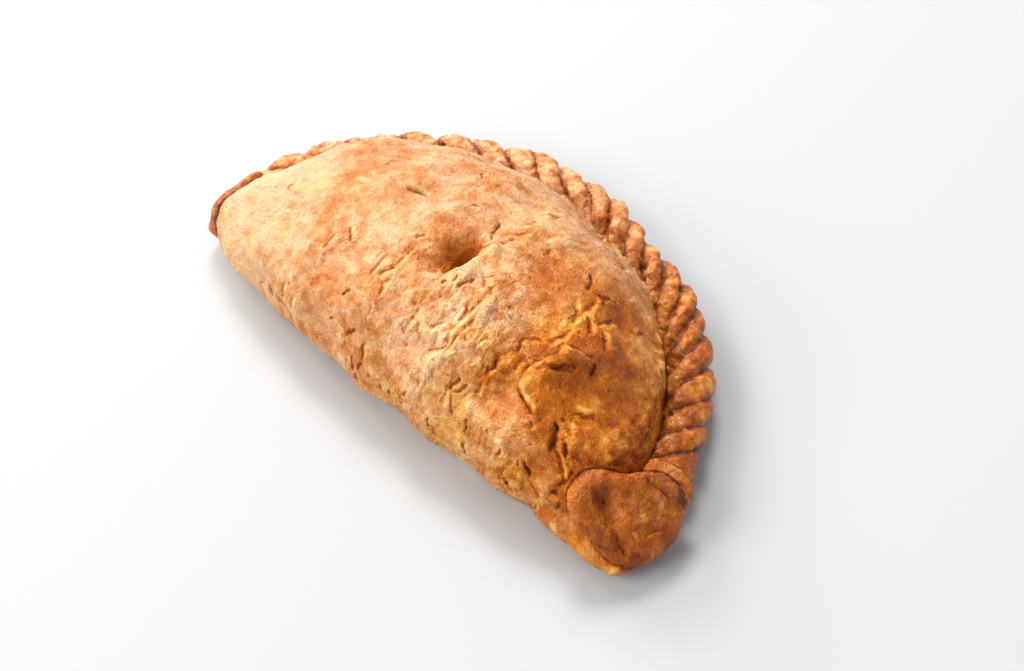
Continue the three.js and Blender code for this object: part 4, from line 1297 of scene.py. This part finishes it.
def folded_end(tab):
    """Points and faces of a tab, with each point's place on its face."""
    across, down, facing = tab_axes(tab)
    turn = -np.arange(TAB_TURNS) / TAB_TURNS * 2 * np.pi
    outline = 1 + sum(deep * np.cos(count * turn - np.radians(start))
                      for count, deep, start in tab["lobes"])
    shares = [(np.sin((n + 1) / TAB_RINGS * np.pi / 2), 0.0) for n in range(TAB_RINGS)]
    for n in range(TAB_BACK_RINGS):
        back = (n + 1) / TAB_BACK_RINGS
        shares.append((mix(1, TAB_BACK_SIZE, smooth_step(0, 0.8, back)), 0.8 * back))
    points, places = [], []
    for out, back in shares:
        u, v = np.cos(turn) * outline * out, np.sin(turn) * outline * out
        height = tab_height(tab, u, v, out) if back == 0 else np.full(TAB_TURNS, -back * tab["back"])
        flat = np.array(tab["at"]) + tab["size"] * (u[:, None] * across + v[:, None] * down)
        points.append(flat + height[:, None] * facing)
        places.append(np.column_stack([u, v, np.full(TAB_TURNS, out if back == 0 else 1 + back)]))
    points = np.concatenate(points)
    count = len(shares)
    faces = net_faces(count, TAB_TURNS)
    first = np.arange(count) * TAB_TURNS
    final = first + TAB_TURNS - 1
    seam = np.stack([final[:-1], final[1:], first[1:], first[:-1]], axis=1)
    middle = np.array(tab["at"]) + tab_height(tab, 0.0, 0.0, 0.0) * facing
    behind = np.array(tab["at"]) - tab["back"] * facing
    last = len(points)
    ring = np.arange(TAB_TURNS)
    start = np.stack([ring, np.roll(ring, -1), np.full(TAB_TURNS, last)], axis=1)
    ring = ring + (count - 1) * TAB_TURNS
    end = np.stack([np.roll(ring, -1), ring, np.full(TAB_TURNS, last + 1)], axis=1)
    points = np.concatenate([points, [middle, behind]])
    places = np.concatenate(places + [np.array([[0, 0, 0], [0, 0, 2]])])
    points[:, 2] = np.maximum(points[:, 2], TAB_CLEARANCE)
    return points, np.concatenate([faces, seam]), np.concatenate([start, end]), places


print("a folded end has", TAB_TURNS * (TAB_RINGS + TAB_BACK_RINGS) + 2, "points")

# %% Press and brown the folded ends
TAB_FLAKINESS = 0.5
TAB_DARKEST = 0.66
LEAST_HEIGHT = 0.05                   # once its relief is on
CRACK_START_HEIGHT = 4.0              # over the middle of the tab, so that a crack lies on its face


def make_tab(name, tab, seed, toast, cracks):
    """A folded end with its own folds, ragged rim, cracks and browning."""
    points, quads, fans, places = folded_end(tab)
    skin = baked_skin(points, quads)
    across, down, facing = tab_axes(tab)
    skin.normals[-2], skin.normals[-1] = facing, -facing
    u, v, out = places.T
    skin.height += 0.4 * layered(points, 8, seed, 2) + 0.06 * layered(points, 1.7, seed + 5, 2)
    folds = valleys(layered(points, 4.5, seed + 9, 2), 2.3)
    skin.height -= 0.16 * folds
    skin.height += 0.5 * bell(out - 0.97, 0.10) * layered(points, 3.2, seed + 11, 2)
    for n, (*ends, wide, deep, bend) in enumerate(cracks):
        start, end = (np.array(tab["at"]) + tab["size"] * (side * across + low * down)
                      + CRACK_START_HEIGHT * facing for side, low in ends)
        skin.open_crack(start, end, wide, deep, bend, seed=seed + 20 + n)
    # Painted shade in the tab's cracks and folds.
    skin.crack = np.clip(0.45 * skin.crack + 0.12 * folds, 0, 1)
    # The rolled rim is painted paler as a highlight, through the lip note, and browned a little as
    # well.
    rim = bell(out - 0.88, 0.13)
    dents = np.zeros(len(points))
    for at, size, _ in tab["dents"]:
        dents += bell(u - at[0], size[0]) * bell(v - at[1], size[1])
    patches = smooth_step(0.15, 0.5, layered(points, 4.6, seed + 19, 3))
    skin.lip = np.clip(0.35 * rim * (0.8 + layered(points, 4, seed + 13, 2)) + 0.4 * patches, 0, 1)
    # The thumb dents are painted darker, as shade.
    brown = (toast + 0.07 * dents + 0.12 * layered(points, 7, seed + 15, 3)
             + 0.09 * rim - 0.06 * (out > 1.05))
    shine = np.clip(0.72 + 0.35 * layered(points, 9, seed + 17, 2), 0, 1)
    baked = finished_points(skin)
    baked[:, 2] = np.maximum(baked[:, 2], LEAST_HEIGHT)
    piece = make_piece(name, baked, quads.tolist() + fans.tolist(), {
        "toast": np.minimum(brown, TAB_DARKEST), "glaze": shine, "lip": skin.lip,
        "crack": skin.crack, "flaky": np.full(len(points), TAB_FLAKINESS),
    })
    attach(piece, "root")
    print(name, len(baked), "points, top at", round(float(baked[:, 2].max()), 1), "mm")
    return piece


NEAR_CRACKS = [  # ends as shares of the tab's size, width, depth, bend
    ((-0.62, -0.40), (-0.42, 0.20), 0.5, 0.3, -0.5),
    ((-0.42, 0.10), (-0.40, 0.74), 0.6, 0.5, 0.4),
    ((0.40, -0.64), (0.84, 0.06), 0.6, 0.6, -0.5),
    ((-0.06, 0.50), (0.60, 0.46), 0.6, 0.4, 1.2),
]
LAST_CRACKS = [((-0.3, -0.6), (0.1, 0.7), 0.6, 0.5, 0.6)]
FAR_CRACKS = [((-0.4, -0.3), (0.4, -0.2), 0.6, 0.8, 0.5)]
near_tab = make_tab("near_tab", NEAR_TAB, seed=900, toast=0.56, cracks=NEAR_CRACKS)
last_fold = make_tab("last_fold", LAST_FOLD, seed=930, toast=0.46, cracks=LAST_CRACKS)
far_tab = make_tab("far_tab", FAR_TAB, seed=950, toast=0.50, cracks=FAR_CRACKS)

# %% [markdown]
# ### Where the pieces meet
# The crimp and the folded ends sink into the case, and each is painted darker where it meets
# another: painted shade in place of an ambient occlusion node, a narrow dark line and a wider band of
# extra toast. An ambient occlusion node would have to be left out when the model is exported, so the
# distance to the other pieces is measured here and noted on the points.

# %% Note the creases between the pieces
SEAM_REACH = 4.0                      # how far away another piece is still looked for
SEAM_WIDTH = 0.9
SEAM_SHADE = 0.08
SEAM_SHADE_WIDTH = 2.5 * SEAM_WIDTH


def shell_of(piece):
    return BVHTree.FromPolygons([point.co for point in piece.data.vertices],
                                [tuple(face.vertices) for face in piece.data.polygons])


def read_note(mesh, note):
    values = np.empty(len(mesh.vertices), np.float32)
    mesh.attributes[note].data.foreach_get("value", values)
    return values


def gap_to(points, shell, box):
    """How far each point is from a shell, in millimetres, or SEAM_REACH where it is further."""
    reach = SEAM_REACH * METRES
    gap = np.full(len(points), SEAM_REACH)
    close = (points > box.min(axis=0) - reach) & (points < box.max(axis=0) + reach)
    for n in np.flatnonzero(np.all(close, axis=1)):
        found = shell.find_nearest(points[n], reach)[3]
        if found is not None:
            gap[n] = found / METRES
    return gap


pieces = [crust_piece, crimp_piece, near_tab, last_fold, far_tab]
shells = {piece: (shell_of(piece), np.array(piece.bound_box)) for piece in pieces}
for piece in pieces:
    mesh = piece.data
    points = np.array([point.co for point in mesh.vertices])
    gap = np.min([gap_to(points, *shells[other]) for other in pieces if other is not piece], axis=0)
    # Painted shade where the pieces meet: a narrow dark line, and a wider band of extra toast.
    write_note(mesh, "crack", np.maximum(read_note(mesh, "crack"), bell(gap, SEAM_WIDTH)))
    write_note(mesh, "toast", read_note(mesh, "toast") + SEAM_SHADE * bell(gap, SEAM_SHADE_WIDTH))
    print(piece.name, "meets others at", int((gap < SEAM_WIDTH).sum()), "points")

# %% [markdown]
# ## How baked pastry takes the light
# Five effects are shared by every piece, so each is a node group. "Pits" scatters the small holes
# that bubbles leave, which are painted darker as shade. "Flakes" lays thin sheets one over another,
# each with a lifted edge painted paler as a highlight and a foot painted darker as its shadow.
# "Ragged edge" frays a note on the points, so that lips and cracks look torn.
# "Browning" turns the notes, with some finer mottling, into colour and gloss. "Crumb" gives the
# grain as height for a bump. A painted picture could hold all this, but it would blur close up and
# stretch over the dome, and nodes stay sharp at every scale. The shader itself stays in each
# material, with the gloss that suits the piece. Light soaks a little way into pastry, which warms
# its colour.

# %% The pits group
PIT_MIDDLE = 0.05                     # how close to its middle a pit is deepest
PIT_CHANCE = (0.45, 0.7)              # cells below the first have no pit, above the second a full one

pits_group = Tree("Pits", "ShaderNodeTree", inputs=[
    ("Vector", "NodeSocketVector", None),
    ("Scale", "NodeSocketFloat", 380.0),
    ("Size", "NodeSocketFloat", 0.34),
], outputs=[("Depth", "NodeSocketFloat")])
given = pits_group.given
math = pits_group.math
cells = pits_group.add("ShaderNodeTexVoronoi", {"Vector": given["Vector"], "Scale": given["Scale"]})
luck = math("FRACT", math("MULTIPLY", cells.outputs["Color"], 7.0))
deep = pits_group.step(cells.outputs["Distance"], given["Size"], PIT_MIDDLE)
rare = pits_group.step(luck, *PIT_CHANCE, "LINEAR")
pits_group.plug(math("MULTIPLY", deep, rare), pits_group.result["Depth"])
print("pits", len(pits_group.tree.nodes), "nodes")

# %% The flakes group
FLAKE_LAYERS = 8.0                    # how many thin sheets lie one over another
FLAKE_STRETCH = (1.5, 0.65, 0.9)      # they run from the crimp down to the fold
FLAKE_PATCHES = dict(scale=95.0, detail=2.0, roughness=0.5)
FLAKE_LIFTED = (0.58, 0.74)           # where in the patches the sheets start to lift, and lift fully
# The edge is painted paler as a highlight.
FLAKE_EDGE = (0.72, 0.97)             # the part of each sheet that is its edge
FLAKE_FOOT = (0.16, 0.0)              # and the part in the shade of the next edge

flakes_group = Tree("Flakes", "ShaderNodeTree", inputs=[
    ("Vector", "NodeSocketVector", None),
    ("Scale", "NodeSocketFloat", 48.0),
    ("Share", "NodeSocketFloat", 0.5),
], outputs=[("Height", "NodeSocketFloat"), ("Edge", "NodeSocketFloat"), ("Foot", "NodeSocketFloat")])
given = flakes_group.given
math = flakes_group.math
along = flakes_group.vector("MULTIPLY", given["Vector"], FLAKE_STRETCH)
field = flakes_group.noise(along, given["Scale"], 5.0, distortion=0.2)
sheet = math("FRACT", math("MULTIPLY", field, FLAKE_LAYERS))
patches = flakes_group.noise(given["Vector"], **FLAKE_PATCHES)
lifted = flakes_group.step(math("MULTIPLY_ADD", given["Share"], 0.3, patches), *FLAKE_LIFTED)
for label, part in (
    ("Height", math("POWER", sheet, 2.0)),
    ("Edge", flakes_group.step(sheet, *FLAKE_EDGE, "LINEAR")),
    ("Foot", flakes_group.step(sheet, *FLAKE_FOOT, "LINEAR")),
):
    flakes_group.plug(math("MULTIPLY", part, lifted), flakes_group.result[label])
print("flakes", len(flakes_group.tree.nodes), "nodes")

# %% The ragged edge group
ragged = Tree("Ragged edge", "ShaderNodeTree", inputs=[
    ("Vector", "NodeSocketVector", None),
    ("Value", "NodeSocketFloat", 0.0),
    ("Low", "NodeSocketFloat", 0.38),
    ("High", "NodeSocketFloat", 0.68),
], outputs=[("Value", "NodeSocketFloat")])
given = ragged.given
math = ragged.math
frayed = math("ADD", ragged.swing(given["Vector"], 700.0, 3.0, 0.65), given["Value"])
crisp = ragged.step(frayed, given["Low"], given["High"])
crisp = math("MULTIPLY", crisp, math("MAXIMUM", given["Value"], 0.0))
ragged.plug(crisp, ragged.result["Value"])
print("ragged edge", len(ragged.tree.nodes), "nodes")

# %% The browning group
DRY_COLOURS = [  # toast, colour: pastry that the glaze missed
    (0.00, (0.90, 0.62, 0.35)),
    (0.22, (0.85, 0.52, 0.295)),
    (0.42, (0.75, 0.315, 0.115)),
    (0.62, (0.54, 0.158, 0.024)),
    (0.82, (0.24, 0.060, 0.011)),
    (1.00, (0.12, 0.034, 0.008)),
]
GLAZED_COLOURS = [  # toast, colour: pastry under egg glaze
    (0.00, (0.92, 0.58, 0.17)),
    (0.25, (0.73, 0.30, 0.042)),
    (0.45, (0.52, 0.133, 0.004)),
    (0.65, (0.36, 0.069, 0.002)),
    (0.85, (0.21, 0.036, 0.001)),
    (1.00, (0.10, 0.018, 0.001)),
]

browning = Tree("Browning", "ShaderNodeTree", inputs=[
    ("Vector", "NodeSocketVector", None),
    ("Toast", "NodeSocketFloat", 0.4),
    ("Glaze", "NodeSocketFloat", 0.3),
    ("Lip", "NodeSocketFloat", 0.0),
    ("Painted shade", "NodeSocketFloat", 0.0),
    ("Pits", "NodeSocketFloat", 0.0),
    ("Mottle", "NodeSocketFloat", 0.8),
    ("Speckle", "NodeSocketFloat", 0.5),
    ("Patches", "NodeSocketFloat", 0.7),
    ("Edge", "NodeSocketFloat", 0.0),
    ("Foot", "NodeSocketFloat", 0.0),
], outputs=[("Color", "NodeSocketColor"), ("Roughness", "NodeSocketFloat")])
given = browning.given
math = browning.math
print("browning from", len(DRY_COLOURS), "dry and", len(GLAZED_COLOURS), "glazed colours")

# %% How dark each place is
BLOTCHES = dict(scale=120, detail=4, reach=(-0.01, 0.05), shade=0.11)    # brown, under the glaze
PALE_SPOTS = dict(scale=240, detail=4, reach=(0.10, 0.15), shade=-0.16)
# Edge is a painted highlight on the flakes' edges and Foot their painted shadow; Lip is paler for
# pale dough and painted highlights; the note of cracks and creases, and Pits, are painted shade.
SHADES = [  # label, how much it darkens
    ("Edge", -0.10), ("Foot", 0.14), ("Lip", -0.22), ("Painted shade", 0.46), ("Pits", 0.14),
]


def patches_of(kind):
    patchy = browning.swing(given["Vector"], kind["scale"], kind["detail"])
    return browning.step(patchy, *kind["reach"])


mottle = browning.swing(given["Vector"], 260, 3)
speckle = browning.swing(given["Vector"], 1500, 2)
even = math("MULTIPLY_ADD", given["Glaze"], -0.6, 1.0)
shade = math("MULTIPLY_ADD", mottle, given["Mottle"], given["Toast"])
shade = math("MULTIPLY_ADD", speckle, math("MULTIPLY", given["Speckle"], even), shade)
blotch = math("MULTIPLY", patches_of(BLOTCHES), given["Glaze"])
shade = math("MULTIPLY_ADD", blotch, BLOTCHES["shade"], shade)
shade = math("MULTIPLY_ADD", patches_of(PALE_SPOTS), PALE_SPOTS["shade"], shade)
for label, weight in SHADES:
    shade = math("MULTIPLY_ADD", given[label], weight, shade)
print("shade from", len(browning.tree.nodes), "nodes")

# %% Its colour, dry or glazed, and its gloss
GLAZE_SHARE = (1.8, -0.28)            # how fast the glazed colour takes over, and where it starts
GLOSS = dict(dry=0.34, glaze=-0.10, crack=0.15, speckle=0.5)    # roughness


def browned(colours):
    ramp = browning.add("ShaderNodeValToRGB", {"Fac": shade})
    elements = ramp.color_ramp.elements
    for place, colour in colours[1:-1]:
        elements.new(place).color = (*colour, 1)
    elements[0].color = (*colours[0][1], 1)
    elements[-1].color = (*colours[-1][1], 1)
    return ramp.outputs[0]


patchy = math("ADD", math("MULTIPLY", browning.swing(given["Vector"], 420, 3), 1.5),
              math("MULTIPLY", browning.swing(given["Vector"], 1700, 2), 1.1))
share = math("MULTIPLY_ADD", given["Glaze"], *GLAZE_SHARE)
share = math("MULTIPLY_ADD", patchy, given["Patches"], share)
share = math("MULTIPLY_ADD", given["Lip"], 0.3, share)
blend = browning.add("ShaderNodeMix", {0: share}, data_type="RGBA")
browning.plug(browned(DRY_COLOURS), blend.inputs[6])
browning.plug(browned(GLAZED_COLOURS), blend.inputs[7])
browning.plug(blend.outputs[2], browning.result["Color"])
gloss = math("MULTIPLY_ADD", given["Glaze"], GLOSS["glaze"], GLOSS["dry"])
gloss = math("MULTIPLY_ADD", given["Painted shade"], GLOSS["crack"], gloss)
gloss = math("MULTIPLY_ADD", speckle, GLOSS["speckle"], gloss)
browning.plug(gloss, browning.result["Roughness"])
print("browning", len(browning.tree.nodes), "nodes")

# %% The crumb group
SPARKLE_SCALE = 2300.0                # the finest grain, which glitters where the light grazes it
HEIGHTS = [  # label, how much it lifts
    ("Flaking", 0.4), ("Painted shade", -0.3), ("Pits", -0.35),
]

crumbs = Tree("Crumb", "ShaderNodeTree", inputs=[
    ("Vector", "NodeSocketVector", None),
    ("Grain", "NodeSocketFloat", 900.0),
    ("Flakes", "NodeSocketFloat", 330.0),
    ("Painted shade", "NodeSocketFloat", 0.0),
    ("Pits", "NodeSocketFloat", 0.0),
    ("Flaking", "NodeSocketFloat", 0.0),
    ("Glaze", "NodeSocketFloat", 0.3),
], outputs=[("Height", "NodeSocketFloat")])
given = crumbs.given
math = crumbs.math
grain = crumbs.swing(given["Vector"], given["Grain"], 3)
scales = crumbs.swing(given["Vector"], given["Flakes"], 3, 0.65)
sparkle = crumbs.swing(given["Vector"], SPARKLE_SCALE, 1)
height = math("MULTIPLY_ADD", scales, 0.8, math("MULTIPLY", grain, 1.2))
height = math("ADD", height, sparkle)
height = math("MULTIPLY", height, math("MULTIPLY_ADD", given["Glaze"], -0.6, 1.0))
for label, weight in HEIGHTS:
    height = math("MULTIPLY_ADD", given[label], weight, height)
crumbs.plug(height, crumbs.result["Height"])
print("crumb", len(crumbs.tree.nodes), "nodes")

# %% Materials of the crust, the crimp and the folded ends
BUMP_DEPTH = 0.001
PASTRY = {  # what is the same on every piece
    "IOR": 1.45,
    "Coat Roughness": 0.24,
    "Subsurface Weight": 0.25,
    "Subsurface Radius": (1.0, 0.4, 0.12),
    "Subsurface Scale": 0.003,
    "Specular Tint": (1.0, 0.55, 0.28, 1),    # egg glaze, which browns the sheen as well
}


def pastry_material(name, mottle, speckle, grain, flakes, bump, shine, coat):
    """A finish that joins the groups to a shader, with the patches, relief and shine of a piece."""
    material = bpy.data.materials.new(name)
    material.use_nodes = True
    tree = material.node_tree
    tree.nodes.clear()
    link = tree.links.new

    def add(kind, values, **settings):
        made = tree.nodes.new(kind)
        for setting, value in settings.items():
            setattr(made, setting, value)
        for label, value in values.items():
            made.inputs[label].default_value = value
        return made

    def group(made, **values):
        node = add("ShaderNodeGroup", values, node_tree=made.tree)
        link(places, node.inputs["Vector"])
        return node

    def note(label):
        return add("ShaderNodeAttribute", {}, attribute_name=label).outputs["Fac"]

    places = add("ShaderNodeTexCoord", {}).outputs["Object"]
    colour = group(browning, Mottle=mottle, Speckle=speckle)
    relief = group(crumbs, Grain=grain, Flakes=flakes)
    pitted, flaked = group(pits_group), group(flakes_group)
    # The lip note is made paler, as pale dough and as painted highlights; the note of cracks and
    # creases is painted shade.
    lips, cracks = group(ragged), group(ragged)
    link(note("lip"), lips.inputs["Value"])
    link(note("crack"), cracks.inputs["Value"])
    link(note("flaky"), flaked.inputs["Share"])
    link(note("toast"), colour.inputs["Toast"])
    link(lips.outputs["Value"], colour.inputs["Lip"])
    link(flaked.outputs["Edge"], colour.inputs["Edge"])
    link(flaked.outputs["Foot"], colour.inputs["Foot"])
    link(flaked.outputs["Height"], relief.inputs["Flaking"])
    for end in (colour, relief):
        link(note("glaze"), end.inputs["Glaze"])
        link(cracks.outputs["Value"], end.inputs["Painted shade"])
        link(pitted.outputs["Depth"], end.inputs["Pits"])
    raised = add("ShaderNodeBump", {"Strength": bump, "Distance": BUMP_DEPTH})
    pastry = add("ShaderNodeBsdfPrincipled", {
        "Specular IOR Level": shine, "Coat Weight": coat, **PASTRY,
    })
    link(relief.outputs["Height"], raised.inputs["Height"])
    link(colour.outputs["Color"], pastry.inputs["Base Color"])
    link(colour.outputs["Roughness"], pastry.inputs["Roughness"])
    link(raised.outputs["Normal"], pastry.inputs["Normal"])
    link(pastry.outputs[0], add("ShaderNodeOutputMaterial", {}).inputs["Surface"])
    return material


crust_finish = pastry_material("baked crust", mottle=0.6, speckle=0.38, grain=900, flakes=330,
                               bump=1.2, shine=0.55, coat=0.0)
crimp_finish = pastry_material("baked crimp", mottle=0.7, speckle=0.34, grain=1000, flakes=420,
                               bump=0.7, shine=0.7, coat=0.22)
tab_finish = pastry_material("baked folded end", mottle=0.8, speckle=0.34, grain=900, flakes=360,
                             bump=0.9, shine=0.6, coat=0.12)
for piece, finish in ((crust_piece, crust_finish), (crimp_piece, crimp_finish),
                      (near_tab, tab_finish), (last_fold, tab_finish), (far_tab, tab_finish)):
    piece.data.materials.append(finish)

# %% [markdown]
# ## Floor and light
# The pasty lies on a plain pale floor. One large panel overhead would be simpler, but it would
# flatten the crust. So the main light is a window low at the left, with a skylight higher up behind
# the pasty, and each fold has a shadow on its right. A wide, weaker panel in front fills in, and so
# do the pale surroundings, which are a little dimmer on the left.

# %% Floor
FLOOR_REACH = 4
FLOOR_GAP = 0.0002                    # how far below the underside it lies

floor_mesh = bpy.data.meshes.new("floor")
floor_corners = [(-1, -1), (1, -1), (1, 1), (-1, 1)]
floor_mesh.from_pydata([(FLOOR_REACH * x, FLOOR_REACH * y, 0) for x, y in floor_corners], [],
                       [(0, 1, 2, 3)])
floor = in_scene("floor", floor_mesh)
floor.location.z = -FLOOR_GAP
paper = bpy.data.materials.new("pale floor")
paper.use_nodes = True
paper_shader = paper.node_tree.nodes["Principled BSDF"]
paper_shader.inputs["Base Color"].default_value = (0.46, 0.465, 0.47, 1)
paper_shader.inputs["Roughness"].default_value = 0.8
floor_mesh.materials.append(paper)
print("floor", 2 * FLOOR_REACH, "m wide")

# %% Light
LIGHTS = [  # name, place, size, watts, colour
    ("window", (-1.9, 0.3, 1.15), 1.0, 41.0, (1.0, 0.995, 0.985)),
    ("skylight", (-1.15, 1.05, 2.1), 0.8, 50.0, (1.0, 0.995, 0.99)),
    ("fill", (-0.9, -1.9, 1.5), 1.6, 63.0, (1.0, 0.99, 0.97)),
]

for name, at, size, watts, colour in LIGHTS:
    panel = bpy.data.lights.new(name, "AREA")
    panel.size = size
    panel.energy = watts
    panel.color = colour
    lamp = in_scene(name, panel)
    lamp.location = at
    lamp.rotation_euler = (-Vector(at)).to_track_quat("-Z", "Y").to_euler()
print(len(LIGHTS), "lights")

# %% Surroundings
WINDOW_SIDE, ROOM_SIDE = 0.50, 0.57    # how bright they are on the left and on the right

world = bpy.data.worlds.new("studio")
world.use_nodes = True
world_nodes, world_link = world.node_tree.nodes, world.node_tree.links.new
sky = world_nodes["Background"]
sky.inputs["Color"].default_value = (0.97, 0.98, 1.0, 1)
around = world_nodes.new("ShaderNodeTexCoord")
sideways = world_nodes.new("ShaderNodeSeparateXYZ")
dimming = world_nodes.new("ShaderNodeMapRange")
dimming.inputs["From Min"].default_value = -1.0
dimming.inputs["To Min"].default_value = WINDOW_SIDE
dimming.inputs["To Max"].default_value = ROOM_SIDE
world_link(around.outputs["Generated"], sideways.inputs[0])
world_link(sideways.outputs["X"], dimming.inputs["Value"])
world_link(dimming.outputs[0], sky.inputs["Strength"])
bpy.context.scene.world = world
bpy.context.scene.view_settings.view_transform = "Standard"
print("surroundings from", WINDOW_SIDE, "on the left to", ROOM_SIDE, "on the right")

# %% [markdown]
# ## Size and finish
# The visual model is meant to fill the same box as the solid.
